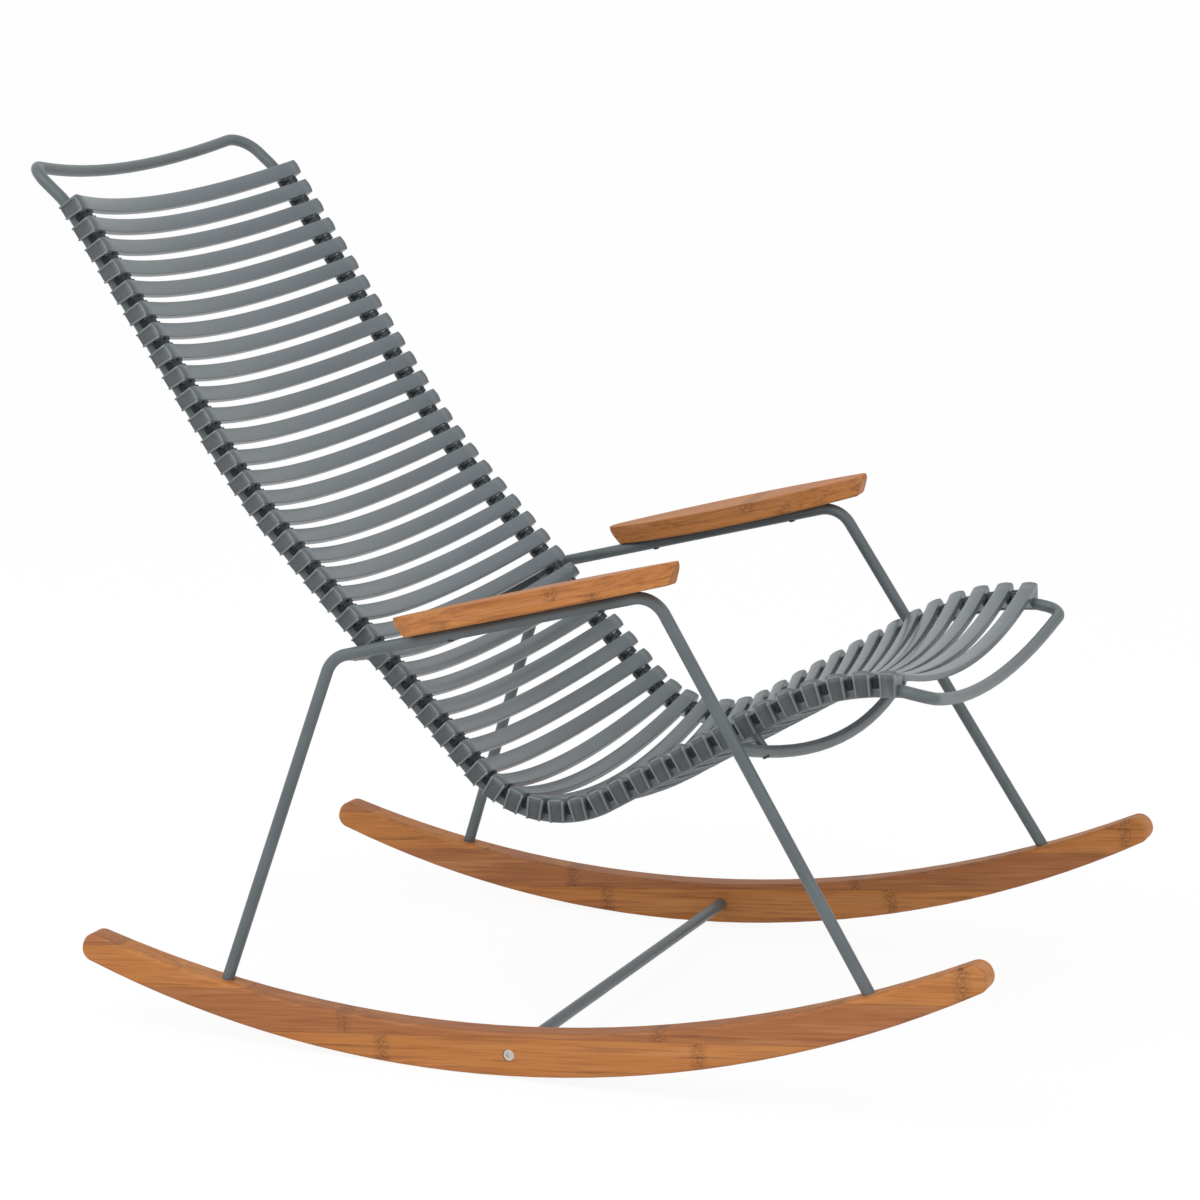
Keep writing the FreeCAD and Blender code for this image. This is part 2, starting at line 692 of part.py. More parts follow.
front_leg = (front_entry - FRONT_BEND).normalize()
seat_down = in_plane(math.sin(radians("seat_rise_angle")), -math.cos(radians("seat_rise_angle")))
back_down = in_plane(-math.sin(radians("back_lower_angle")), -math.cos(radians("back_lower_angle")))
front_end = FRONT_BEND + front_leg * size("front_cross_distance")
rear_end = REAR_BEND + ARM * size("rear_cross_distance")
front_cross, front_screws, front_holes = cross_bar("front_cross_bar", front_end, seat_down)
rear_cross, rear_screws, rear_holes = cross_bar("rear_cross_bar", rear_end, back_down)
seat_frame = cut("seat_frame", seat_bar, front_holes + rear_holes)

# Armrests: drawn along the arm bar, rolled towards the sitter

roll = radians("armrest_roll")
over_arm = in_plane(-ARM.z, ARM.x)
board_up = over_arm * math.cos(roll) + ACROSS * math.sin(roll)
board_side = board_up.cross(ARM)
along_arm = Placement(FreeCAD.Matrix(
    ARM.x, board_side.x, board_up.x, REAR_BEND.x,
    ARM.y, board_side.y, board_up.y, REAR_BEND.y,
    ARM.z, board_side.z, board_up.z, REAR_BEND.z,
    0, 0, 0, 1,
))
armrest_body = doc.addObject("PartDesign::Body", "armrest_board")
plan = sketch_on(armrest_body, "XY_Plane", "armrest_plan")
board_length = "(Sizes.armrest_end - Sizes.armrest_start)"
outline(plan, (
    ("Sizes.armrest_start", "-Sizes.armrest_tip_offset", "out",
     arc_radius(board_length, "(Sizes.armrest_outer - Sizes.armrest_tip_offset)")),
    ("Sizes.armrest_end", "-Sizes.armrest_tip_offset", "out",
     arc_radius(board_length, "(Sizes.armrest_inner + Sizes.armrest_tip_offset)")),
))
plan.AttachmentOffset = Placement(Vector(0, 0, 0), Rotation())
plan.setExpression("AttachmentOffset.Base.z", "Sizes.bar_diameter / 2")
board = extrude(armrest_body, "PartDesign::Pad", "armrest_pad", plan, "Sizes.armrest_thickness", "Forwards")


def stands_up(edge):
    """Whether an edge runs straight through the board's thickness."""
    return edge.BoundBox.XLength < TINY and edge.BoundBox.YLength < TINY


tips = round_off(armrest_body, "armrest_tips", board, stands_up, "Sizes.armrest_tip_radius")
tip_set_back = tips.Shape.BoundBox.XMin - size("armrest_start")
board_bottom = "Sizes.bar_diameter / 2"
board_top = f"({board_bottom} + Sizes.armrest_thickness)"
rear_tip = f"(Sizes.armrest_start + {tip_set_back})"
front_tip = f"(Sizes.armrest_end - {tip_set_back})"
ends = sketch_on(armrest_body, "XZ_Plane", "armrest_ends")
outline(ends, (
    (rear_tip, board_top),
    (f"{rear_tip} - Sizes.armrest_tip_radius", board_top),
    (f"{rear_tip} - Sizes.armrest_tip_radius", board_bottom),
    (f"{rear_tip} + Sizes.armrest_undercut", board_bottom),
))
outline(ends, (
    (front_tip, board_top),
    (f"{front_tip} + Sizes.armrest_tip_radius", board_top),
    (f"{front_tip} + Sizes.armrest_tip_radius", board_bottom),
    (f"{front_tip} - Sizes.armrest_undercut", board_bottom),
))
board_width = "(Sizes.armrest_outer + Sizes.armrest_inner)"
extrude(armrest_body, "PartDesign::Pocket", "armrest_undercuts", ends, f"2 * {board_width}")


def lies_at(height):
    """Test for edges that lie flat at a height of the body."""
    return lambda edge: edge.BoundBox.ZLength < TINY and abs(edge.BoundBox.ZMin - height) < TINY


for edge_name, height, radius in (
    ("armrest_lower_edge", BAR_RADIUS, "Sizes.armrest_bottom_radius"),
    ("armrest_upper_edge", BAR_RADIUS + size("armrest_thickness"), "Sizes.armrest_edge_radius"),
):
    round_off(armrest_body, edge_name, armrest_body.Tip, lies_at(height), radius)
armrest_body.Placement = along_arm


# Screws through the frame: into the armrests from below, and through the cross bars into the seat rails

def frame_screw(name, length):
    """Body of a frame screw of a length in millimetres."""
    names = ("diameter", "head", "head_height")
    return turned_screw(name, *[f"Sizes.frame_screw_{part}" for part in names], f"{length}")


armrest_screw_length = HEAD_SEAT + BAR_RADIUS + size("armrest_screw_depth")
armrest_screw = frame_screw("armrest_screw", armrest_screw_length)
front_rail_screw = frame_screw("front_rail_screw", front_screws[0][2])
rear_rail_screw = frame_screw("rear_rail_screw", rear_screws[0][2])
doc.recompute()

arm_holes = []
board_holes = []
screws = []
for end in ("rear", "front"):
    on_axis = REAR_BEND + ARM * size(f"armrest_screw_{end}")
    seat = on_axis - board_up * HEAD_SEAT
    tools = screw_tools(f"armrest_screw_{end}", seat, board_up, seat + board_up * armrest_screw_length)
    arm_holes += tools
    board_holes.append(tools[0])
    placed = Placement(seat, facing(board_up))
    right = copy_of(f"armrest_screw_right_{end}", armrest_screw.Shape, placed)
    screws += [right, other_side(f"armrest_screw_left_{end}", right)]
for master, places in ((front_rail_screw, front_screws), (rear_rail_screw, rear_screws)):
    for number, (seat, up, length) in enumerate(places):
        placed = Placement(seat, facing(up))
        screws.append(copy_of(f"{master.Name}_{number}", master.Shape, placed))
frame_screws = group("frame_screws", screws)
side_frame_right = cut("side_frame_right", side_bar, arm_holes)
side_frame_left = other_side("side_frame_left", side_frame_right)
armrest_right = cut("armrest_right", armrest_body, board_holes)
armrest_left = other_side("armrest_left", armrest_right)

# Slat: X runs along the rail towards the front, Z is square to it on the sitter's side

RAIL = "(Sizes.rail_spacing / 2)"
END = "(Sizes.rail_spacing / 2 + Sizes.slat_overhang)"
END_HEIGHT = "Sizes.slat_end_height"
ARCH = arc_radius(f"2 * {END}", "Sizes.slat_dip")
ARCH_CENTRE = f"({END_HEIGHT} - Sizes.slat_dip + {ARCH})"
HOLLOW = f"({END} - Sizes.slat_solid_end)"
BLOCK = f"({END} - Sizes.slat_block_length)"


def face_height(y):
    """Expression for the height of the slat's upper face, along its middle."""
    return f"({ARCH_CENTRE} - sqrt({ARCH} ^ 2 - ({y}) ^ 2))"


def both_ends(sketch, corners):
    """Draw an outline at the slat's left end and again at its right end."""
    outline(sketch, corners)
    outline(sketch, mirrored(corners))


slat_body = doc.addObject("PartDesign::Body", "slat")
strip = sketch_on(slat_body, "YZ_Plane", "slat_strip")
outline(strip, (
    (f"-{END}", f"{END_HEIGHT} - Sizes.slat_rim", "out", ARCH),
    (END, f"{END_HEIGHT} - Sizes.slat_rim"),
    (END, END_HEIGHT, "in", ARCH),
    (f"-{END}", END_HEIGHT),
))
extrude(slat_body, "PartDesign::Pad", "slat_strip_pad", strip, "Sizes.slat_width")

block = sketch_on(slat_body, "YZ_Plane", "slat_end_blocks")
both_ends(block, (
    (HOLLOW, f"{face_height(HOLLOW)} - Sizes.slat_skin"),
    (HOLLOW, f"{face_height(HOLLOW)} - Sizes.slat_rim"),
    (BLOCK, "-Sizes.clip_inner_drop"),
    (RAIL, "-Sizes.clip_inner_drop"),
    (RAIL, "-Sizes.clip_outer_drop"),
    (END, "-Sizes.clip_outer_drop"),
    (END, f"{END_HEIGHT} - Sizes.slat_skin / 2"),
    (BLOCK, f"{face_height(BLOCK)} - Sizes.slat_skin / 2"),
))
extrude(slat_body, "PartDesign::Pad", "slat_end_blocks_pad", block, "Sizes.slat_width")

SPLIT = f"({RAIL} - Sizes.lug_split_offset)"
RELIEF = "(Sizes.bar_diameter / 2 + Sizes.lug_relief)"


def over_rail(y):
    """Expression for the height of the relief round the rail under a lug."""
    return f"sqrt({RELIEF} ^ 2 - ({y} - {RAIL}) ^ 2)"


outer_lug = sketch_on(slat_body, "YZ_Plane", "slat_outer_lugs")
outer_near = f"({SPLIT} + Sizes.lug_split / 2)"
outer_far = f"({RAIL} + Sizes.bar_diameter / 2)"
both_ends(outer_lug, (
    (outer_near, over_rail(outer_near), "in", RELIEF),
    (outer_far, over_rail(outer_far)),
    (outer_far, "Sizes.lug_top"),
    (outer_near, "Sizes.lug_top"),
))
lug_reach = f"{SLAT_PITCH / 2} + Sizes.lug_overlap"
extrude(slat_body, "PartDesign::Pad", "slat_outer_lugs_pad", outer_lug, lug_reach, "Forwards")

inner_lug = sketch_on(slat_body, "YZ_Plane", "slat_inner_lugs")
inner_far = f"({SPLIT} - Sizes.lug_split / 2)"
both_ends(inner_lug, (
    (BLOCK, "Sizes.lug_bottom"),
    (f"{RAIL} - sqrt({RELIEF} ^ 2 - Sizes.lug_bottom ^ 2)", "Sizes.lug_bottom", "in", RELIEF),
    (inner_far, over_rail(inner_far)),
    (inner_far, "Sizes.lug_top"),
    (BLOCK, "Sizes.lug_top"),
))
extrude(slat_body, "PartDesign::Pad", "slat_inner_lugs_pad", inner_lug, lug_reach, "Backwards")

step = sketch_on(slat_body, "YZ_Plane", "slat_steps")
step_near = f"({BLOCK} - Sizes.step_length)"
both_ends(step, (
    (step_near, "Sizes.step_bottom"),
    (f"{BLOCK} + {OVERCUT}", "Sizes.step_bottom"),
    (f"{BLOCK} + {OVERCUT}", "Sizes.step_top"),
    (step_near, "Sizes.step_top"),
))
extrude(slat_body, "PartDesign::Pad", "slat_steps_pad", step, f"{SLAT_PITCH} - Sizes.step_gap")

hollow = sketch_on(slat_body, "YZ_Plane", "slat_hollow")
hollow_floor = f"({END_HEIGHT} - Sizes.slat_dip - Sizes.slat_rim - {OVERCUT})"
outline(hollow, (
    (f"-{HOLLOW}", hollow_floor),
    (HOLLOW, hollow_floor),
    (HOLLOW, f"{face_height(HOLLOW)} - Sizes.slat_skin", "in", ARCH),
    (f"-{HOLLOW}", f"{face_height(HOLLOW)} - Sizes.slat_skin"),
))
hollow_width = "Sizes.slat_width - 2 * Sizes.slat_lip"
extrude(slat_body, "PartDesign::Pocket", "slat_hollow_pocket", hollow, hollow_width)

# The upper face is crowned by a groove that turns about the centre of the arch

side = "(Sizes.slat_width / 2)"
crown = sketch_on(slat_body, "XZ_Plane", "slat_crown_profile")
crown_radius = arc_radius("Sizes.slat_width", "Sizes.slat_crown")
crown_reach = f"({side} + {OVERCUT})"
crown_sides = f"(-{ARCH} - {crown_radius} + sqrt({crown_radius} ^ 2 - {crown_reach} ^ 2))"
outline(crown, (
    (crown_reach, crown_sides, "out", crown_radius),
    (f"-{crown_reach}", crown_sides),
    (f"-{crown_reach}", f"-{ARCH} + {OVERCUT}"),
    (crown_reach, f"-{ARCH} + {OVERCUT}"),
))
crown.AttachmentOffset = Placement(Vector(0, 0, 0), Rotation())
crown.setExpression("AttachmentOffset.Base.y", ARCH_CENTRE)
groove = slat_body.newObject("PartDesign::Groove", "slat_crown_groove")
groove.Profile = crown
groove.ReferenceAxis = (crown, ["H_Axis"])
groove.Midplane = True
groove.Angle = CROWN_TURN
crown.Visibility = False
doc.recompute()

top = f"({END_HEIGHT} - Sizes.slat_bevel_drop)"
bottom = "-Sizes.clip_outer_drop"
below_clip = f"({bottom} - {OVERCUT})"
low_side = f"({side} - Sizes.slat_draft)"
panel_side = f"({side} - Sizes.clip_flange)"
panel_low_side = f"({low_side} - Sizes.clip_flange)"
draft_top = f"({face_height(BLOCK)} - Sizes.slat_crown - 2 * Sizes.slat_edge_radius)"
for end_name, end_offset, inwards in (("right", END, "Forwards"), ("left", f"-{END}", "Backwards")):
    draft = sketch_on(slat_body, "XZ_Plane", f"slat_draft_{end_name}")
    wedge = (
        (side, draft_top),
        (low_side, bottom),
        (low_side, below_clip),
        (f"({side} + {OVERCUT})", below_clip),
        (f"({side} + {OVERCUT})", draft_top),
    )
    outline(draft, wedge)
    outline(draft, mirrored(wedge))
    recess = sketch_on(slat_body, "XZ_Plane", f"slat_recess_{end_name}")
    outline(recess, (
        (f"-{panel_low_side}", below_clip),
        (panel_low_side, below_clip),
        (panel_side, f"({top} - Sizes.clip_flange)"),
        (f"-{panel_side}", f"({top} - Sizes.clip_flange)"),
    ))
    for sketch, depth in ((draft, "Sizes.slat_block_length"), (recess, "Sizes.clip_recess")):
        sketch.AttachmentOffset = Placement(Vector(0, 0, 0), Rotation())
        sketch.setExpression("AttachmentOffset.Base.z", end_offset)
        extrude(slat_body, "PartDesign::Pocket", f"{sketch.Name}_pocket", sketch, depth, inwards)

clip = sketch_on(slat_body, "YZ_Plane", "slat_clips")
circle_on(clip, RAIL, "0", "Sizes.bar_diameter / 2 + Sizes.clip_clearance")
circle_on(clip, f"-{RAIL}", "0", "Sizes.bar_diameter / 2 + Sizes.clip_clearance")
extrude(slat_body, "PartDesign::Pocket", "slat_clips_pocket", clip, "2 * Sizes.slat_width")

mouth = sketch_on(slat_body, "YZ_Plane", "slat_clip_mouths")
both_ends(mouth, (
    (f"{RAIL} - Sizes.clip_mouth / 2", below_clip),
    (f"{RAIL} + Sizes.clip_mouth / 2", below_clip),
    (f"{RAIL} + Sizes.clip_mouth / 2", "0"),
    (f"{RAIL} - Sizes.clip_mouth / 2", "0"),
))
extrude(slat_body, "PartDesign::Pocket", "slat_clip_mouths_pocket", mouth, "2 * Sizes.slat_width")


slat_half_length = HALF_RAIL + size("slat_overhang")


def end_top_edge(edge):
    """Whether an edge is the crowned one between an end face and the upper face."""
    span = edge.BoundBox
    return span.YLength < TINY and span.XLength > beyond and span.ZMax > size("slat_end_height") - TINY


def long_upper_edge(edge):
    """Whether an edge is one of the slat's two long upper edges."""
    span = edge.BoundBox
    lowest = size("slat_end_height") - size("slat_crown") - size("slat_bevel_drop")
    return span.XLength < TINY and span.YLength > slat_half_length and span.ZMax > lowest


beyond = size("slat_width") / 2
end_edges = picked_edges(slat_body.Tip, end_top_edge)
bevel = slat_body.newObject("PartDesign::Chamfer", "slat_bevels")
bevel.Base = end_edges
bevel.ChamferType = "Two distances"
bevel.setExpression("Size", "Sizes.slat_bevel_drop")
bevel.setExpression("Size2", "Sizes.slat_bevel_run")
doc.recompute()
round_off(slat_body, "slat_edges", slat_body.Tip, long_upper_edge, "Sizes.slat_edge_radius")
slat_shape = slat_body.Shape
slats = []
slat_count = int(size("slat_count"))
waste = Vector(SLAT_PITCH, 2 * slat_half_length, 2 * size("slat_end_height"))
for number in range(slat_count):
    place, heading = on_rail(number * SLAT_PITCH)
    shape = slat_shape
    if number in (0, slat_count - 1):
        # The first and the last slat have no lug towards the bow
        corner = Vector(beyond if number else -beyond - waste.x, -waste.y / 2, -waste.z / 2)
        shape = slat_shape.cut(Part.makeBox(waste.x, waste.y, waste.z, corner))
    normal = in_plane(-heading.z, heading.x)
    turned = Placement(FreeCAD.Matrix(
        heading.x, 0, normal.x, place.x,
        heading.y, 1, normal.y, 0,
        heading.z, 0, normal.z, place.z,
        0, 0, 0, 1,
    ))
    slats.append(copy_of(f"slat_{number + 1:02d}", shape, turned))
doc.recompute()


def check_and_export(nodes):
    """Stop if anything in the document failed, then write each node to its file."""
    for item in doc.Objects:
        if "Invalid" in item.State or "Error" in item.State:
            raise RuntimeError(f"{item.Name} failed: {item.State}")
    os.makedirs("parts", exist_ok=True)
    for node in nodes:
        shape = node.Shape
        if shape.isNull() or not shape.isValid() or not shape.Solids:
            raise RuntimeError(f"{node.Label} has no valid solid")
        centre = shape.CenterOfGravity
        print(node.Label, len(shape.Solids), round(shape.Volume), round(centre.x, 1), round(centre.z, 1))
        shape.exportStep(f"parts/{node.Label}.step")


check_and_export([
    seat_frame,
    side_frame_right,
    side_frame_left,
    front_cross,
    rear_cross,
    rocker_right,
    rocker_left,
    armrest_right,
    armrest_left,
    stretcher,
    rocker_screws,
    frame_screws,
] + slats)
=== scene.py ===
"""Looks of a rocking lounge chair: slats, bent bars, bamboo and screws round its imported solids, in metres."""

import math

import bmesh
import bpy
from mathutils import Matrix, Vector


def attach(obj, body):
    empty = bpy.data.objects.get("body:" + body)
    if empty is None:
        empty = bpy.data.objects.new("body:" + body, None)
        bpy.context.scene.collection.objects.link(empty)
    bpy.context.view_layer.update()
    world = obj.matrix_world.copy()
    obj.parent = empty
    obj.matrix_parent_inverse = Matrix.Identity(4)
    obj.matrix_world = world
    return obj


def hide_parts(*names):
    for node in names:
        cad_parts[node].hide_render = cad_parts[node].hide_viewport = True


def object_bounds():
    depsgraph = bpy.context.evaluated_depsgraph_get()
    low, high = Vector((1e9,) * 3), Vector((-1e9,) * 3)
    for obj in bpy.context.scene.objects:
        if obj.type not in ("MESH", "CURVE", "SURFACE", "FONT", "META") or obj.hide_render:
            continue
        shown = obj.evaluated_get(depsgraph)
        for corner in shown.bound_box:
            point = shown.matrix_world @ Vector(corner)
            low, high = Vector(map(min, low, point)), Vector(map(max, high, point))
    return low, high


bl_info = {
    "name": "Rocking lounge chair",
    "version": (1, 0, 0),
    "blender": (4, 5, 0),
    "location": "3D View > Sidebar > Chair",
    "description": "Builds the slats, bars, bamboo and screws of a rocking lounge chair, and a plain stage",
    "category": "Object",
}

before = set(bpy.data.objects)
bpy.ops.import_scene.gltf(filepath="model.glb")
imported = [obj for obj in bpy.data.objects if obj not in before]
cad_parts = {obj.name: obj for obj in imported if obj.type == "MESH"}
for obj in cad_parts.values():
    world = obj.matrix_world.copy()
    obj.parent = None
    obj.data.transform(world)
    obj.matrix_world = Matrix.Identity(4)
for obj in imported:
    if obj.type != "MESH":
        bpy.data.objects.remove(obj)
CAD_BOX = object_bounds()

ACROSS = Vector((0, 1, 0))
SLAT_COUNT = sum(name.startswith("slat_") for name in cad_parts)
ARC_STEP = math.radians(2)
QUARTER_TURN = math.pi / 2
MERGE_DISTANCE = 1e-6
SLAT_CREASE = math.radians(28)
SCREW_CREASE = math.radians(30)
STRETCHER_GAP = 0.0001
SENSOR_WIDTH = 36
FLOOR_REACH = 40

# Names of the attributes that the pieces' points carry

OUTWARDS = "outwards"
IN_SLAT = "in_slat"
SLAT_NUMBER = "slat_number"

# Where the painted light and painted shade of a slat begin and end, in metres in its own frame

LUG_SIDE = (0.0081, 0.0084)
END_START = (0.2303, 0.231)
END_FACE = (0.2341, 0.2345)
PANEL_SIDE = (0.0056, 0.0059)
PANEL_TOP = (0.0172, 0.0178)
PANEL_DRAFT = 0.035
BEVEL_START = (0.2301, 0.2306)
BEVEL_EDGE = (0.2339, 0.234)
BEVEL_FOOT = (0.0176, 0.018)
FLANGE_TOP = (0.019, 0.0195)
UNDERSIDE = (-0.0215, -0.0185)
SLAT_BOW = 0.63

# Where the painted shade on the inner side of a seat rail begins and ends, in metres from its axis outwards

RAIL_INSIDE = (-0.0075, -0.0065)
RAIL_MIDDLE = (-0.0015, 0.001)
RAIL_END_FADE = 0.001

# Noises of the bamboo: cycles a metre along the strips and across them, and detail

WARP = (5.0, 20.0, 2.0)
FIBRE = (16.0, 520.0, 4.0)
STREAK = (9.0, 210.0, 3.0)
BAND = (4.0, 60.0, 2.0)
SPECK = (420.0, 420.0, 2.0)
WOBBLE = (90.0, 160.0, 3.0)

# Where those noises make the bamboo paler or darker

PALE_BAND = (0.45, 0.75)
PALE_FIBRE = (0.5, 0.8)
PALE_SPECK = (0.56, 0.7)
DARK_FIBRE = (0.28, 0.5)
DARK_STREAK = (0.3, 0.5)
DARK_SPECK = (0.35, 0.6)

# Waves and knots of the bamboo in metres, and its joints as shares of a strip's height

GRAIN_WAVE = 0.006
KNOT_WAVE = 0.008
KNOT_EDGE = (0.002, 0.012)
KNOT_SHIFT = 3.7
KNOT_SEED = 5.0
JOINT_EDGE = (0.006, 0.02)

# Noises of the other finishes, in cycles a metre, and the heights of the bumps in metres

PEEL = 900.0
DUST = 14.0
PLASTIC_GRAIN = 1500.0
FLOW_ALONG = 5
FLOW_ACROSS = 60
TURNING = 2500
FINE_RELIEF = 0.0001
GRAIN_RELIEF = 0.0003

BLACK = (0.0, 0.0, 0.0)
WHITE = (1.0, 1.0, 1.0)


# Values that a user would change

def length(name, description, millimetres):
    """A length property, given in millimetres and kept in metres."""
    return bpy.props.FloatProperty(
        name=name, description=description, default=millimetres / 1000, unit="LENGTH", precision=4)


def turn(name, description, degrees):
    """An angle property, given in degrees."""
    return bpy.props.FloatProperty(
        name=name, description=description, default=math.radians(degrees), subtype="ANGLE")


def share(name, description, value):
    """A property between 0 and 1."""
    return bpy.props.FloatProperty(
        name=name, description=description, default=value, min=0, max=1, subtype="FACTOR")


def position(name, description, x, y, z):
    """A position property, in metres."""
    return bpy.props.FloatVectorProperty(
        name=name, description=description, default=(x, y, z), size=3, subtype="TRANSLATION",
        unit="LENGTH")


def shade(value):
    """A linear colour channel from one of 0 to 255, by the usual curve of screens."""
    value /= 255
    return value / 12.92 if value <= 0.04045 else ((value + 0.055) / 1.055) ** 2.4


def colour(name, description, red, green, blue):
    """A colour property, given as it looks on a screen, 0 to 255."""
    return bpy.props.FloatVectorProperty(
        name=name, description=description, default=(shade(red), shade(green), shade(blue)),
        min=0, max=1, size=3, subtype="COLOR")


class RailSizes(bpy.types.PropertyGroup):
    """Line of a seat rail, from the first slat to the last, and of the bows that close the frame."""

    spacing: length("Rail spacing", "Seat rail centre to seat rail centre", 444)
    top_x: length("Top, forwards", "Middle of the first slat's clips", -420.9)
    top_z: length("Top, upwards", "Middle of the first slat's clips", 805.7)
    upper_run: length("Upper run", "Straight rail behind the shoulders", 275.5)
    upper_angle: turn("Upper angle", "Slope of the rail behind the shoulders", 55.7)
    back_radius: length("Back bend", "Radius of the bend behind the waist", 737)
    lower_run: length("Lower run", "Straight rail behind the waist", 281.6)
    lower_angle: turn("Lower angle", "Slope of the rail behind the waist", 45.9)
    seat_radius: length("Seat bend", "Radius of the bend under the sitter", 116)
    seat_run: length("Seat run", "Straight rail under the thighs", 203.7)
    seat_angle: turn("Seat angle", "Rise of the rail under the thighs", 30.9)
    knee_radius: length("Knee bend", "Radius of the bend under the knees", 219)
    knee_run: length("Knee run", "Straight rail up to the last slat", 8.2)
    knee_angle: turn("Knee angle", "Rise of the rail at the last slat", 3.85)
    top_start: length("Top bow's start", "Rail past the first slat before it curls back", 3)
    top_curl: turn("Top bow's curl", "Turn of the rail backwards before the top bow", 15.4)
    top_curl_radius: length("Top bow's curl radius", "Radius of that turn", 60)
    top_reach: length("Top bow's reach", "Straight rail between the curl and the corner", 16.8)
    top_corner: length("Top bow's corner", "Radius of the corner", 28)
    top_slope: turn("Top bow's slope", "Slope of the bow where it leaves the corner", 11.4)
    front_start: length("Front bow's start", "Rail past the last slat before it curls down", 8)
    front_curl: turn("Front bow's curl", "Turn of the rail downwards before the front bow", 13.2)
    front_curl_radius: length("Front bow's curl radius", "Radius of that turn", 25)
    front_reach: length("Front bow's reach", "Straight rail between the curl and the corner", 6.6)
    front_corner: length("Front bow's corner", "Radius of the corner", 17.5)
    front_slope: turn("Front bow's slope", "Slope of the bow where it leaves the corner", 13.2)


class BarSizes(bpy.types.PropertyGroup):
    """Side frames, cross bars and the bar between the rockers."""

    diameter: length("Bar", "Diameter of the round bar", 12)
    post: length("Post", "Diameter of the posts between a cross bar and a rail", 9)
    sides: bpy.props.IntProperty(name="Sides", description="Faces round a bar", default=32, min=8)
    arm_spacing: length("Arm spacing", "Arm bar centre to arm bar centre", 526)
    rear_x: length("Rear bend, forwards", "Where the lines of arm and rear leg cross", -120.6)
    rear_z: length("Rear bend, upwards", "Where the lines of arm and rear leg cross", 389.4)
    rear_radius: length("Rear bend", "Radius of the arm bar into the rear leg", 28)
    front_x: length("Front bend, forwards", "Where the lines of arm and front leg cross", 213.9)
    front_z: length("Front bend, upwards", "Where the lines of arm and front leg cross", 476.8)
    front_radius: length("Front bend", "Radius of the arm bar into the front leg", 30)
    rear_foot: length("Rear foot", "Where the rear leg enters the rocker", -228.4)
    front_foot: length("Front foot", "Where the front leg enters the rocker", 437)
    rocker_spacing: length("Rocker spacing", "Rocker centre to rocker centre", 572)
    rocker_thickness: length("Rocker thickness", "Width of a rocker", 28)
    rocker_top_radius: length("Rocker's upper edge", "Radius of the upper edge", 1292.6)
    rocker_height: length("Rocker height", "Where the rocker is tallest", 43.3)
    rocker_tallest: length("Tallest place", "Where the rocker is tallest, forwards", -14.5)
    cross_sag: length("Cross bar sag", "Of a cross bar's middle, square to the shell", 44)
    front_cross: length("Front cross bar", "Down the front leg from the crossing of the lines", 162.6)
    rear_cross: length("Rear cross bar", "Along the arm from the crossing of the lines", 18)
    stretcher_x: length("Stretcher, forwards", "Axis of the bar between the rockers", 80.5)
    stretcher_z: length("Stretcher, upwards", "Axis of the bar between the rockers", 24.5)


class ScrewSizes(bpy.types.PropertyGroup):
    """Flat-headed screws that hold the rockers."""

    head: length("Head", "Diameter of the head", 12)
    height: length("Height", "Height of the head", 4)
    chamfer: length("Chamfer", "Bevel round the head", 0.7)
    socket: length("Socket", "Hexagonal socket, across flats", 5)
    depth: length("Depth", "Depth of the socket", 2.4)
    sink: length("Sink", "Head's face below the rocker's", 0.8)
    rounds: bpy.props.IntProperty(name="Rounds", description="Faces round a head", default=48, min=12)


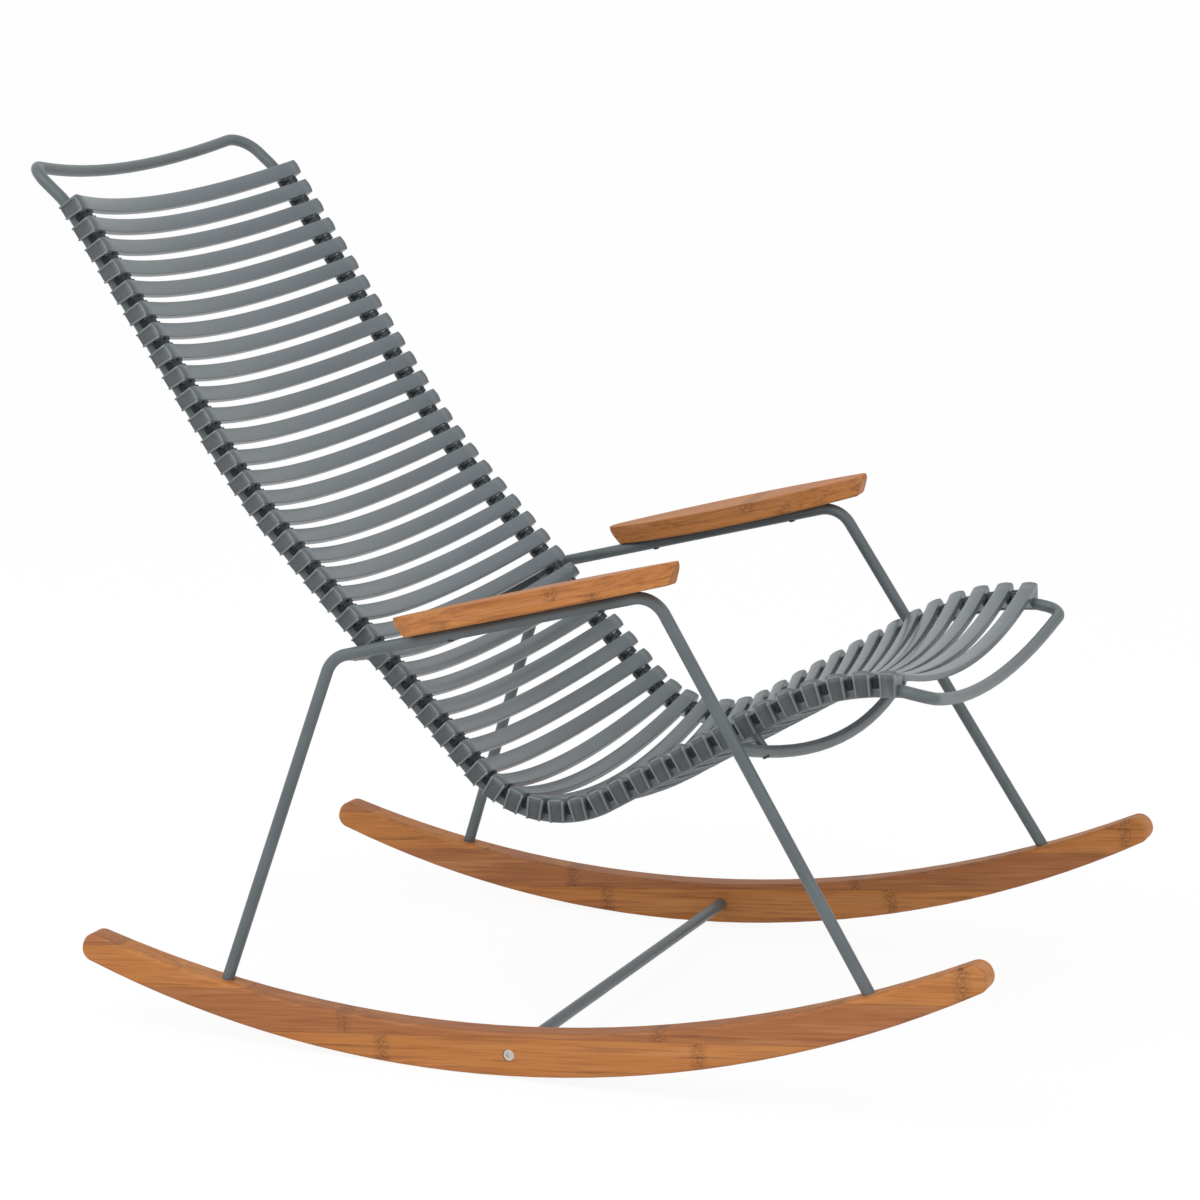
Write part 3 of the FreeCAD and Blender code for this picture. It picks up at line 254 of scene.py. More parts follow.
class Finishes(bpy.types.PropertyGroup):
    """Colours of the chair's materials, their darker and paler places (on the slats and seat rails these are
    painted shade and painted light), and the bamboo's strips.
    """

    paint: colour("Paint", "Powder coat of the bars", 90, 98, 101)
    slat: colour("Slat", "Moulded plastic of the slats", 103, 112, 117)
    bamboo: colour("Bamboo", "Lighter strips of the bamboo", 193, 123, 62)
    bamboo_deep: colour("Deep bamboo", "Darker strips of the bamboo", 171, 107, 62)
    bamboo_dark: colour("Dark bamboo", "Fibres, knots and joints", 112, 66, 38)
    bamboo_pale: colour("Pale bamboo", "Pale fibres", 214, 154, 100)
    steel: colour("Steel", "Stainless screws", 196, 193, 186)
    dark_steel: colour("Dark steel", "Blackened screws under the frame", 62, 64, 66)
    # painted shade: the inner side of a seat rail, under the slats, is darkened as if in their shade
    rail_painted_shade: share("Rails' shade", "How dark the inner side of a seat rail is", 0.75)
    # painted shade: the lugs between the slats are darkened where the slats shade them
    lug_painted_shade: share("Lugs' shade", "How dark the lugs between the slats are", 0.55)
    # painted shade: the bevel at a slat's end is darkened for the way light falls on it
    bevel_painted_shade: share("Bevels' shade", "How dark the bevel at a slat's end is", 0.2)
    # painted shade: a slat's underside is darkened where shade falls under it
    under_painted_shade: share("Undersides' shade", "How dark the underside of a slat is", 0.3)
    # painted light: the rim round a slat's end is made paler as if lit
    flange_painted_light: share("Flanges' light", "How pale the rim round a slat's end is", 0.12)
    # painted light: the recess in a slat's end is made paler as if lit
    panel_painted_light: share("Panels' light", "How pale the recess in a slat's end is", 0.09)
    strip_height: length("Strip height", "Height of a bamboo strip", 42.1)
    strip_slope: turn("Strip slope", "Rise of a rocker's strips towards the front", 5.5)
    rocker_joint: length("Rocker's joint", "Height of the joint between two strips of a rocker", 34.1)
    armrest_joint: length("Armrest's joint", "Height of the joint above the arm bar's axis", 15)
    rocker_contrast: share("Rocker's contrast", "How much darker every second strip is", 1)
    armrest_contrast: share("Armrest's contrast", "How much darker every second strip is", 0.3)
    knot_spacing: length("Knot spacing", "Between two knots of a bamboo strip", 330)
    fibre_shade: share("Fibres' shade", "How dark the dark fibres and streaks are", 0.34)
    joint_shade: share("Joints' shade", "How dark a joint between two strips is", 0.25)
    knot_shade: share("Knots' shade", "How dark a knot is all over", 0.2)
    mottle_shade: share("Mottles' shade", "How much darker the mottles of a knot are", 0.36)
    pale_light: share("Pale fibres' light", "How much the pale fibres show", 0.4)


class StageSizes(bpy.types.PropertyGroup):
    """Camera, lamps and floor."""

    azimuth: turn("Azimuth", "Camera's turn round the chair", 22.644)
    elevation: turn("Elevation", "Camera's height above the horizon", 11.218)
    distance: length("Distance", "Camera to its target", 3769.3)
    target_x: length("Target, forwards", "Point at the middle of the picture", 50.4)
    target_z: length("Target, upwards", "Point at the middle of the picture", 410.9)
    lens: bpy.props.FloatProperty(
        name="Lens", description="Focal length in millimetres", default=111.88, unit="CAMERA")
    floor: colour("Floor", "Pale floor and backdrop", 245, 245, 245)
    floor_glow: share("Floor's glow", "Share of the floor that the camera sees as plain white", 0.88)
    floor_white: bpy.props.FloatProperty(
        name="Floor's white", description="Strength of that white, where 1 is plain white", default=1.04)
    daylight: share("Daylight", "Strength of the even light from all round", 0.62)
    key: bpy.props.FloatProperty(
        name="Key lamp", description="Power of the large lamp", default=62, unit="POWER")
    key_place: position("Key lamp's place", "Middle of the large lamp", -1.2, -2.6, 3.4)
    key_size: length("Key lamp's size", "Side of the large lamp", 3000)
    fill: bpy.props.FloatProperty(
        name="Fill lamp", description="Power of the side lamp", default=16, unit="POWER")
    fill_place: position("Fill lamp's place", "Middle of the side lamp", 3.2, -1.4, 1.6)
    fill_size: length("Fill lamp's size", "Side of the side lamp", 2200)


class ChairSizes(bpy.types.PropertyGroup):
    """All values of the chair."""

    rail: bpy.props.PointerProperty(type=RailSizes)
    bars: bpy.props.PointerProperty(type=BarSizes)
    screws: bpy.props.PointerProperty(type=ScrewSizes)
    finish: bpy.props.PointerProperty(type=Finishes)
    stage: bpy.props.PointerProperty(type=StageSizes)


# Lines of the bars

def in_plane(x, z, y=0.0):
    """A direction or a place in the chair's middle plane, or beside it."""
    return Vector((x, y, z))


class Route:
    """A run of straight lines and arcs, each tangent to the last, as points."""

    def __init__(self, start, heading):
        self.points = [Vector(start)]
        self.heading = Vector(heading).normalized()

    def straight(self, run):
        """Go straight on."""
        self.points.append(self.points[-1] + self.heading * run)

    def turn(self, towards, radius, angle):
        """Turn by an angle towards a direction square to the heading."""
        start, ahead, aside = self.points[-1], self.heading, Vector(towards).normalized()
        steps = max(2, math.ceil(angle / ARC_STEP))
        for number in range(1, steps + 1):
            bend = angle * number / steps
            across = aside * (radius * (1 - math.cos(bend)))
            self.points.append(start + ahead * (radius * math.sin(bend)) + across)
        self.heading = ahead * math.cos(angle) + aside * math.sin(angle)


def rail_route(rail, y):
    """The seat rail's line from the first slat to the last, beside the middle plane by y."""
    down = rail.upper_angle
    route = Route(in_plane(rail.top_x, rail.top_z, y), in_plane(math.cos(down), -math.sin(down)))

    def bend(radius, angle):
        upwards = in_plane(-route.heading.z, route.heading.x)
        route.turn(upwards * math.copysign(1, angle), radius, abs(angle))

    route.straight(rail.upper_run)
    bend(rail.back_radius, rail.upper_angle - rail.lower_angle)
    route.straight(rail.lower_run)
    bend(rail.seat_radius, rail.lower_angle + rail.seat_angle)
    route.straight(rail.seat_run)
    bend(rail.knee_radius, rail.knee_angle - rail.seat_angle)
    route.straight(rail.knee_run)
    return route


def half_bow(start, heading, rail, which):
    """Points from the right rail's end to the middle of its bow."""

    def size(part):
        return getattr(rail, f"{which}_{part}")

    route = Route(start, heading)
    rearwards = route.heading.cross(ACROSS)
    rearwards *= -1 if rearwards.z > 0 else 1
    route.straight(size("start"))
    route.turn(rearwards, size("curl_radius"), size("curl"))
    route.straight(size("reach"))
    ahead = route.heading.copy()
    below = ahead.cross(ACROSS).normalized()
    below *= -1 if below.z > 0 else 1
    slope = size("slope")
    inwards = ACROSS * math.cos(slope) + below * math.sin(slope)
    route.turn(inwards, size("corner"), QUARTER_TURN)
    flatten = ahead.cross(route.heading).normalized()
    flatten *= -1 if flatten.z < 0 else 1
    route.turn(flatten, abs(route.points[-1].y) / math.sin(slope), slope)
    return route.points


def mirrored(points):
    """The points on the sitter's left, in the reverse order."""
    return [Vector((point.x, -point.y, point.z)) for point in reversed(points)]


def seat_line(rail):
    """Closed line of the seat frame."""
    side = rail_route(rail, -rail.spacing / 2)
    start_heading = side.points[0] - side.points[1]
    top = half_bow(side.points[0], start_heading, rail, "top")
    front = half_bow(side.points[-1], side.heading, rail, "front")
    right = top[::-1] + side.points[1:-1] + front
    return right + mirrored(right)[1:-1]


def bent_line(corners, radii):
    """Straight runs through corners, with an arc at each inner one."""
    points = [corners[0]]
    for before, corner, after, radius in zip(corners, corners[1:], corners[2:], radii):
        back = (before - corner).normalized()
        forth = (after - corner).normalized()
        half = back.angle(forth) / 2
        route = Route(corner + back * (radius / math.tan(half)), -back)
        route.turn((forth - back.dot(forth) * back), radius, math.pi - 2 * half)
        points += route.points
    return points + [corners[-1]]


def side_corners(bars):
    """Foot, bend, bend and foot of the right side frame."""
    arms, rockers = -bars.arm_spacing / 2, -bars.rocker_spacing / 2
    rear = in_plane(bars.rear_x, bars.rear_z, arms)
    front = in_plane(bars.front_x, bars.front_z, arms)
    feet = []
    for bend, foot in ((rear, bars.rear_foot), (front, bars.front_foot)):
        inside = math.sqrt(bars.rocker_top_radius ** 2 - (foot - bars.rocker_tallest) ** 2)
        entry = in_plane(foot, bars.rocker_height + bars.rocker_top_radius - inside, rockers)
        feet.append(entry + (entry - bend).normalized() * bars.diameter)
    return [feet[0], rear, front, feet[1]]


def sagging_line(end, middle):
    """Arc from an end over the middle to the end's mirror image."""
    sag = (end - in_plane(middle.x, middle.z, end.y)).length
    half = abs(end.y)
    radius = (half ** 2 + sag ** 2) / (2 * sag)
    angle = 2 * math.asin(half / radius)
    down = (middle - in_plane(end.x, end.z)).normalized()
    inwards = ACROSS * math.copysign(math.cos(angle / 2), -end.y) + down * math.sin(angle / 2)
    towards = ACROSS * math.copysign(math.sin(angle / 2), -end.y) - down * math.cos(angle / 2)
    route = Route(end, inwards)
    route.turn(towards, radius, angle)
    return route.points


def nearest(points, place):
    """The point of a line that is nearest to a place."""
    best = None
    for start, end in zip(points, points[1:]):
        run = end - start
        along = max(0, min(1, (place - start).dot(run) / run.length_squared))
        there = start + run * along
        if best is None or (there - place).length < (best - place).length:
            best = there
    return best


# Meshes and Geometry Nodes

def line_object(name, lines, closed=False):
    """A curve object with one straight-segment spline for each line."""
    curve = bpy.data.curves.new(name, "CURVE")
    curve.dimensions = "3D"
    for points in lines:
        spline = curve.splines.new("POLY")
        spline.points.add(len(points) - 1)
        for number, point in enumerate(points):
            spline.points[number].co = (*point, 1)
        spline.use_cyclic_u = closed
    made = bpy.data.objects.new(name, curve)
    bpy.context.scene.collection.objects.link(made)
    return made


def mesh_object(name, shape):
    """An object from a bmesh, linked to the scene."""
    mesh = bpy.data.meshes.new(name)
    shape.to_mesh(mesh)
    shape.free()
    made = bpy.data.objects.new(name, mesh)
    bpy.context.scene.collection.objects.link(made)
    return made


class Value:
    """A node's output that takes part in sums."""

    def __init__(self, nodes, socket):
        self.nodes = nodes
        self.socket = socket

    def other(self, label):
        """Another output of the same node."""
        return Value(self.nodes, self.socket.node.outputs[label])

    def math(self, operation, *others, clamp=False):
        settings = {"operation": operation, "use_clamp": clamp}
        return self.nodes.add("ShaderNodeMath", self, *others, settings=settings)

    def __add__(self, other):
        return self.math("ADD", other)

    def __mul__(self, other):
        return self.math("MULTIPLY", other)

    def __truediv__(self, other):
        return self.math("DIVIDE", other)

    def __sub__(self, other):
        return self.math("SUBTRACT", other)

    def __rsub__(self, other):
        return (self * -1) + other

    __radd__ = __add__
    __rmul__ = __mul__

    def smooth(self, low, high):
        """0 below low, 1 above high and a smooth step between."""
        settings = {"interpolation_type": "SMOOTHSTEP"}
        return self.nodes.add(
            "ShaderNodeMapRange", settings=settings, Value=self, From_Min=low, From_Max=high)

    def clamped(self):
        """The value, kept between 0 and 1."""
        return self.math("ADD", 0.0, clamp=True)


class Nodes:
    """A tree of nodes for geometry, a material or the world, built node by node."""

    def __init__(self, tree):
        self.tree = tree

    def feed(self, socket, value):
        """Link a value to a socket, or set it to plain numbers."""
        if isinstance(value, Value):
            self.tree.links.new(value.socket, socket)
        elif socket.type == "RGBA" and len(value) == 3:
            socket.default_value = (*value, 1)
        else:
            socket.default_value = value

    def add(self, kind, *values, settings=None, output=0, **sockets):
        """Add a node: its options first, then its sockets, in order or by name with _ for a space."""
        node = self.tree.nodes.new(kind)
        for option, value in (settings or {}).items():
            setattr(node, option, value)
        for socket, value in zip(node.inputs, values):
            self.feed(socket, value)
        for label, value in sockets.items():
            wanted = label.replace("_", " ")
            self.feed(next(s for s in node.inputs if s.name == wanted and s.enabled), value)
        return Value(self, node.outputs[output])

    def seen(self):
        """1 for a camera, glossy or transmission ray, and 0 for a ray that lights the chair."""
        camera = self.add("ShaderNodeLightPath", output="Is Camera Ray")
        glossy = camera.other("Is Glossy Ray")
        return camera.math("MAXIMUM", glossy).math("MAXIMUM", camera.other("Is Transmission Ray"))


class Tree(Nodes):
    """A Geometry Nodes tree with named inputs. It ends in Realize Instances and Set Material."""

    def __init__(self, name, inputs):
        super().__init__(bpy.data.node_groups.new(name, "GeometryNodeTree"))
        sockets = self.tree.interface
        sockets.new_socket("Geometry", in_out="INPUT", socket_type="NodeSocketGeometry")
        sockets.new_socket("Geometry", in_out="OUTPUT", socket_type="NodeSocketGeometry")
        for label, kind in (*inputs, ("Material", "Material")):
            sockets.new_socket(label, in_out="INPUT", socket_type=f"NodeSocket{kind}")
        self.start = self.tree.nodes.new("NodeGroupInput")

    def given(self, label):
        """One of the tree's inputs."""
        return Value(self, self.start.outputs[label])

    def joined(self, parts):
        """Several geometries as one."""
        node = self.tree.nodes.new("GeometryNodeJoinGeometry")
        for part in parts:
            self.feed(node.inputs[0], part)
        return Value(self, node.outputs[0])

    def finish(self, geometry):
        """Close the tree with its last two nodes and return it."""
        real = self.add("GeometryNodeRealizeInstances", Geometry=geometry)
        dressed = self.add("GeometryNodeSetMaterial", Geometry=real, Material=self.given("Material"))
        self.feed(self.tree.nodes.new("NodeGroupOutput").inputs[0], dressed)
        return self.tree


def grown(source, group, name, values):
    """The plain mesh object that a tree makes from a source object, which is then removed."""
    modifier = source.modifiers.new(name, "NODES")
    modifier.node_group = group
    for item in group.interface.items_tree:
        if item.in_out == "INPUT" and item.name in values:
            modifier[item.identifier] = values[item.name]
    source.update_tag()
    bpy.context.view_layer.update()
    evaluated = source.evaluated_get(bpy.context.evaluated_depsgraph_get())
    mesh = bpy.data.meshes.new_from_object(evaluated)
    source.modifiers.remove(modifier)
    bpy.data.objects.remove(source)
    if not mesh.polygons:
        raise RuntimeError(f"{name} came out empty")
    mesh.name = name
    made = bpy.data.objects.new(name, mesh)
    bpy.context.scene.collection.objects.link(made)
    return made


def round_bar_tree():
    """A round bar along each line."""
    tree = Tree("Round bar", (("Diameter", "Float"), ("Sides", "Int")))
    radius = tree.given("Diameter") * 0.5
    section = tree.add("GeometryNodeCurvePrimitiveCircle", Resolution=tree.given("Sides"), Radius=radius)
    bar = tree.add(
        "GeometryNodeCurveToMesh", Curve=tree.given("Geometry"), Profile_Curve=section, Fill_Caps=True)
    return tree.finish(tree.add("GeometryNodeSetShadeSmooth", Geometry=bar))


def slats_tree():
    """Slats at even steps along the rail's line: one kind at each end and one between."""
    kinds = (("First slat", "Object"), ("Slat", "Object"), ("Last slat", "Object"))
    tree = Tree("Slats on the rail", (("Count", "Int"), *kinds))
    count = tree.given("Count")
    points = tree.add("GeometryNodeCurveToPoints", Curve=tree.given("Geometry"), Count=count)
    facing = tree.add(
        "FunctionNodeAxesToRotation", settings={"primary_axis": "X", "secondary_axis": "Y"},
        Primary_Axis=points.other("Tangent"), Secondary_Axis=tuple(ACROSS))
    index = tree.add("GeometryNodeInputIndex")
    numbered = tree.add(
        "GeometryNodeStoreNamedAttribute", settings={"data_type": "FLOAT"}, Geometry=points,
        Name=SLAT_NUMBER, Value=index)
    equal = {"data_type": "INT", "operation": "EQUAL"}
    is_first = tree.add("FunctionNodeCompare", settings=equal, A=index, B=0)
    is_last = tree.add("FunctionNodeCompare", settings=equal, A=index, B=count - 1)
    either = tree.add("FunctionNodeBooleanMath", is_first, is_last, settings={"operation": "OR"})
    between = tree.add("FunctionNodeBooleanMath", either, settings={"operation": "NOT"})
    parts = []
    for label, chosen in (("First slat", is_first), ("Slat", between), ("Last slat", is_last)):
        slat = tree.add("GeometryNodeObjectInfo", output="Geometry", Object=tree.given(label))
        parts.append(tree.add(
            "GeometryNodeInstanceOnPoints", Points=numbered, Selection=chosen, Instance=slat,
            Rotation=facing))
    return tree.finish(tree.joined(parts))


def screws_tree():
    """A screw at each point, facing the way that the point's attribute says."""
    tree = Tree("Screws", (("Screw", "Object"),))
    outwards = tree.add(
        "GeometryNodeInputNamedAttribute", settings={"data_type": "FLOAT_VECTOR"}, Name=OUTWARDS)
    facing = tree.add("FunctionNodeAlignRotationToVector", settings={"axis": "Z"}, Vector=outwards)
    screw = tree.add("GeometryNodeObjectInfo", output="Geometry", Object=tree.given("Screw"))
    return tree.finish(tree.add(
        "GeometryNodeInstanceOnPoints", Points=tree.given("Geometry"), Instance=screw, Rotation=facing))


def place_piece(piece, nodes):
    """Let a finished piece ride on the chair in place of its CAD nodes."""
    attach(piece, "root")
    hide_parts(*nodes)


# Materials

class Finish(Nodes):
    """A material on its object's own coordinates."""

    def __init__(self, name):
        self.material = bpy.data.materials.new(name)
        self.material.use_nodes = True
        super().__init__(self.material.node_tree)
        self.shader = next(node for node in self.tree.nodes if node.type == "BSDF_PRINCIPLED")
        self.place = self.add("ShaderNodeTexCoord", output="Object")

    def split(self, vector):
        """The three parts of a vector."""
        first = self.add("ShaderNodeSeparateXYZ", Vector=vector)
        return [first.other(axis) for axis in "XYZ"]

    def joined(self, x, y, z):
        """A vector from its three parts."""
        return self.add("ShaderNodeCombineXYZ", X=x, Y=y, Z=z)

    def attribute(self, name, output):
        """What a piece's points carry under a name."""
        return self.add("ShaderNodeAttribute", settings={"attribute_name": name}, output=output)

    def mix(self, factor, first, second):
        """A colour between two colours, which a Mix node gives at its third output."""
        return self.add(
            "ShaderNodeMix", settings={"data_type": "RGBA"}, output=2, Factor=factor, A=first, B=second)

    def noise(self, place, scale, detail):
        """Noise between 0 and 1, round 0.5."""
        return self.add("ShaderNodeTexNoise", Vector=place, Scale=scale, Detail=detail)

    def chance(self, number, seed=0.0):
        """An even random value for a whole number."""
        return self.add("ShaderNodeTexWhiteNoise", Vector=self.joined(number, seed, 0.0))

    def bump(self, height, distance, strength):
        """A normal from a height between 0 and 1 and a distance in metres."""
        return self.add("ShaderNodeBump", Height=height, Distance=distance, Strength=strength)

    def surface(self, **sockets):
        """Set or link the shader's own sockets and return the material."""
        for label, value in sockets.items():
            self.feed(self.shader.inputs[label.replace("_", " ")], value)
        return self.material


def toned(tone, factor):
    """A colour made darker or lighter by a factor."""
    return [min(1, channel * factor) for channel in tone]


def painted_shade_on_rails(coat, front, top, half_spacing):
    """Where painted shade falls on the seat rails: their side facing the middle plane, between their front and
    top ends.
    """
    x, y, z = coat.split(coat.place)
    outwards = y.math("ABSOLUTE") - half_spacing
    inner = outwards.smooth(*RAIL_INSIDE) * (1 - outwards.smooth(*RAIL_MIDDLE))
    behind = 1 - x.smooth(front - RAIL_END_FADE, front)
    return inner * behind * (1 - z.smooth(top - RAIL_END_FADE, top))


def paint_finish(finish, name, rails=None):
    """Powder coat: fine orange peel, and a little dust of lighter tone.

    rails holds the x of the seat rails' front end, the z of their top end and half their spacing, where
    the coat gets painted shade on their inner side.
    """
    coat = Finish(name)
    peel = coat.noise(coat.place, PEEL, detail=2.0)
    dust = coat.noise(coat.place, DUST, detail=3.0)
    tone = coat.mix(dust.smooth(0.35, 0.7), finish.paint, toned(finish.paint, 1.25))
    if rails:
        # painted shade darkens the seat rails' inner side under the slats
        tone = coat.mix(painted_shade_on_rails(coat, *rails) * finish.rail_painted_shade, tone, BLACK)
    return coat.surface(
        Base_Color=tone,
        Roughness=0.32 + dust * 0.16,
        Normal=coat.bump(peel, FINE_RELIEF, strength=0.35),
    )


def slat_finish(finish):
    """Moulded plastic: fine grain and flow marks, painted light on the ends, and painted shade on the bevels,
    lugs and undersides.
    """
    skin = Finish("Moulded plastic")
    x, y, z = skin.split(skin.place)
    along, across, up = skin.split(skin.attribute(IN_SLAT, "Vector"))
    number = skin.attribute(SLAT_NUMBER, "Fac")
    grain = skin.noise(skin.place, PLASTIC_GRAIN, detail=2.0)
    stretched = skin.joined(x * FLOW_ACROSS, y * FLOW_ALONG, z * FLOW_ACROSS)
    flow = skin.noise(stretched, scale=1.0, detail=3.0)
    cast = flow.smooth(0.3, 0.7) * 0.7 + skin.chance(number) * 0.3
    tone = skin.mix(cast, toned(finish.slat, 0.9), toned(finish.slat, 1.12))
    beside = along.math("ABSOLUTE")
    outwards = across.math("ABSOLUTE")
    lug = beside.smooth(*LUG_SIDE)
    end = outwards.smooth(*END_START)
    panel_side = (beside - up * PANEL_DRAFT).smooth(*PANEL_SIDE)
    panel = end * (1 - panel_side) * (1 - up.smooth(*PANEL_TOP))
    bevel = outwards.smooth(*BEVEL_START) * up.smooth(*BEVEL_FOOT) * (1 - outwards.smooth(*BEVEL_EDGE))
    under = 1 - (up - outwards * outwards * SLAT_BOW).smooth(*UNDERSIDE)
    flange = end * (1 - outwards.smooth(*END_FACE)) * (1 - panel) * (1 - up.smooth(*FLANGE_TOP))
    # painted light: the rims and recesses of the slats' ends are made paler
    paler = flange * (1 - bevel) * finish.flange_painted_light + panel * finish.panel_painted_light
    # painted shade: lugs, bevels and undersides are darkened where shade falls
    darker = lug * finish.lug_painted_shade + bevel * finish.bevel_painted_shade + under * finish.under_painted_shade
    return skin.surface(
        Base_Color=skin.mix(darker.clamped(), skin.mix(paler, tone, WHITE), BLACK),
        Roughness=0.26 + flow * 0.1 + lug * 0.5,
        Normal=skin.bump(grain, FINE_RELIEF, strength=0.3),
    )


def steel_finish(name, tone):
    """Turned steel."""
    steel = Finish(name)
    x, _, z = steel.split(steel.place)
    turned = steel.noise(steel.joined(x * TURNING, z * TURNING, 0.0), scale=1.0, detail=1.0)
    return steel.surface(
        Base_Color=tuple(tone),
        Metallic=1.0,
        Roughness=0.28 + turned * 0.14,
        Normal=steel.bump(turned, FINE_RELIEF, strength=0.1),
    )


def bamboo_finish(finish, name, along, up, joint_height, contrast):
    """Laminated bamboo: tall strips that differ in tone, with fibres, mottled knots and thin joints.

    along and up point along the strips and up their height, a joint lies at joint_height, and contrast
    says how much darker every second strip is.
    """
    wood = Finish(name)
    dot = {"operation": "DOT_PRODUCT"}
    lengthwise, crosswise, height = [
        wood.add("ShaderNodeVectorMath", wood.place, direction, settings=dot, output="Value")
        for direction in (along, up.cross(along), up)]

    def grain(pattern, height=height):
        """Noise with one scale along the strips and another across them."""
        along, across, detail = pattern
        stretched = wood.joined(lengthwise * along, crosswise * across, height * across)
        return wood.noise(stretched, scale=1.0, detail=detail)

    row = (height - joint_height) / finish.strip_height
    tier = row.math("FLOOR")
    odd = (tier * 0.5).math("FRACT") * 2
    waved = height + (grain(WARP) - 0.5) * GRAIN_WAVE
    fibre = grain(FIBRE, waved)
    streak = grain(STREAK, waved)
    speck = grain(SPECK)
    joint = 1 - (0.5 - (row.math("FRACT") - 0.5).math("ABSOLUTE")).smooth(*JOINT_EDGE)
    wobble = grain(WOBBLE) - 0.5
    shift = wood.chance(tier, KNOT_SEED) * KNOT_SHIFT
    cycle = (lengthwise + wobble * KNOT_WAVE) / finish.knot_spacing + shift
    to_knot = (cycle.math("FRACT") - 0.5).math("ABSOLUTE") * finish.knot_spacing
    knot = 1 - to_knot.smooth(*KNOT_EDGE)
    base = wood.mix((1 - odd) * contrast, finish.bamboo, finish.bamboo_deep)
    pale = (grain(BAND).smooth(*PALE_BAND) + fibre.smooth(*PALE_FIBRE)) * finish.pale_light
    base = wood.mix(pale, base, finish.bamboo_pale)
    fibres = (1 - streak.smooth(*DARK_STREAK)) + (1 - fibre.smooth(*DARK_FIBRE))
    mottles = (1 - speck.smooth(*DARK_SPECK)) * finish.mottle_shade
    darker = fibres * finish.fibre_shade + joint * finish.joint_shade
    darker = darker + knot * (finish.knot_shade + mottles)
    base = wood.mix(darker.clamped(), base, finish.bamboo_dark)
    base = wood.mix(knot * speck.smooth(*PALE_SPECK) * finish.pale_light, base, finish.bamboo_pale)
    relief = 0.6 * fibre - joint * 0.3 - knot * (1 - speck) * 0.4 + 0.5
    return wood.surface(
        Base_Color=base,
        Roughness=0.5 + fibre * 0.12,
        Normal=wood.bump(relief, GRAIN_RELIEF, strength=0.25),
        Specular_IOR_Level=0.35,
    )


def dress(node, material):
    """Give a CAD node's object a material."""
    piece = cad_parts[node]
    if not piece.material_slots:
        piece.data.materials.append(material)
    for slot in piece.material_slots:
        slot.material = material


# Operators

class AddStage(bpy.types.Operator):
    """Add the floor, the even light, two soft lamps and the camera"""

    bl_idname = "rocking_chair.add_stage"
    bl_label = "Stage"

    def execute(self, context):
        stage = context.scene.rocking_chair.stage
        scene = context.scene
        scene.view_settings.view_transform = "Standard"
        self.add_floor(stage)
        self.add_daylight(scene, stage)
        self.add_lamp("Key lamp", stage.key_place, stage.key_size, stage.key)
        self.add_lamp("Fill lamp", stage.fill_place, stage.fill_size, stage.fill)
        self.add_camera(scene, stage)
        return {"FINISHED"}

    def add_floor(self, stage):
        """A large pale floor that a camera ray sees as nearly white, with the chair's shadow on it."""
        shape = bmesh.new()
        bmesh.ops.create_grid(shape, x_segments=1, y_segments=1, size=FLOOR_REACH)
        floor = mesh_object("floor", shape)
        pale = Finish("Pale floor")
        pale.surface(Base_Color=tuple(stage.floor), Roughness=0.9, Specular_IOR_Level=0.2)
        lit = Value(pale, pale.shader.outputs[0])
        glow = pale.add("ShaderNodeEmission", Color=WHITE, Strength=stage.floor_white)
        both = pale.add("ShaderNodeMixShader", pale.seen() * stage.floor_glow, lit, glow)
        output = next(node for node in pale.tree.nodes if node.type == "OUTPUT_MATERIAL")
        pale.feed(output.inputs["Surface"], both)
        floor.data.materials.append(pale.material)

    def add_daylight(self, scene, stage):
        """Even light from all round, which a camera, glossy or transmission ray sees as white."""
        scene.world = bpy.data.worlds.new("Daylight")
        scene.world.use_nodes = True
        sky = Nodes(scene.world.node_tree)
        strength = sky.add("ShaderNodeMapRange", Value=sky.seen(), To_Min=stage.daylight)
        background = next(node for node in sky.tree.nodes if node.type == "BACKGROUND")
        sky.feed(background.inputs["Color"], WHITE)
        sky.feed(background.inputs["Strength"], strength)

    def add_lamp(self, name, place, size, power):
        """A large square lamp that looks at the chair's middle."""
        lamp = bpy.data.lights.new(name, "AREA")
        lamp.shape = "SQUARE"
        lamp.size = size
        lamp.energy = power
        made = bpy.data.objects.new(name, lamp)
        made.location = place
        middle = (CAD_BOX[0] + CAD_BOX[1]) / 2
        made.rotation_euler = (middle - Vector(place)).to_track_quat("-Z", "Y").to_euler()
        bpy.context.scene.collection.objects.link(made)

    def add_camera(self, scene, stage):
        """The photograph's camera."""
        flat = math.cos(stage.elevation)
        back = Vector((
            math.sin(stage.azimuth) * flat, -math.cos(stage.azimuth) * flat, math.sin(stage.elevation)))
        lens = bpy.data.cameras.new("Camera")
        lens.sensor_width = SENSOR_WIDTH
        lens.lens = stage.lens
        camera = bpy.data.objects.new("Camera", lens)
        camera.location = in_plane(stage.target_x, stage.target_z) + back * stage.distance
        camera.rotation_mode = "QUATERNION"
        camera.rotation_quaternion = (-back).to_track_quat("-Z", "Y")
        scene.collection.objects.link(camera)
        scene.camera = camera


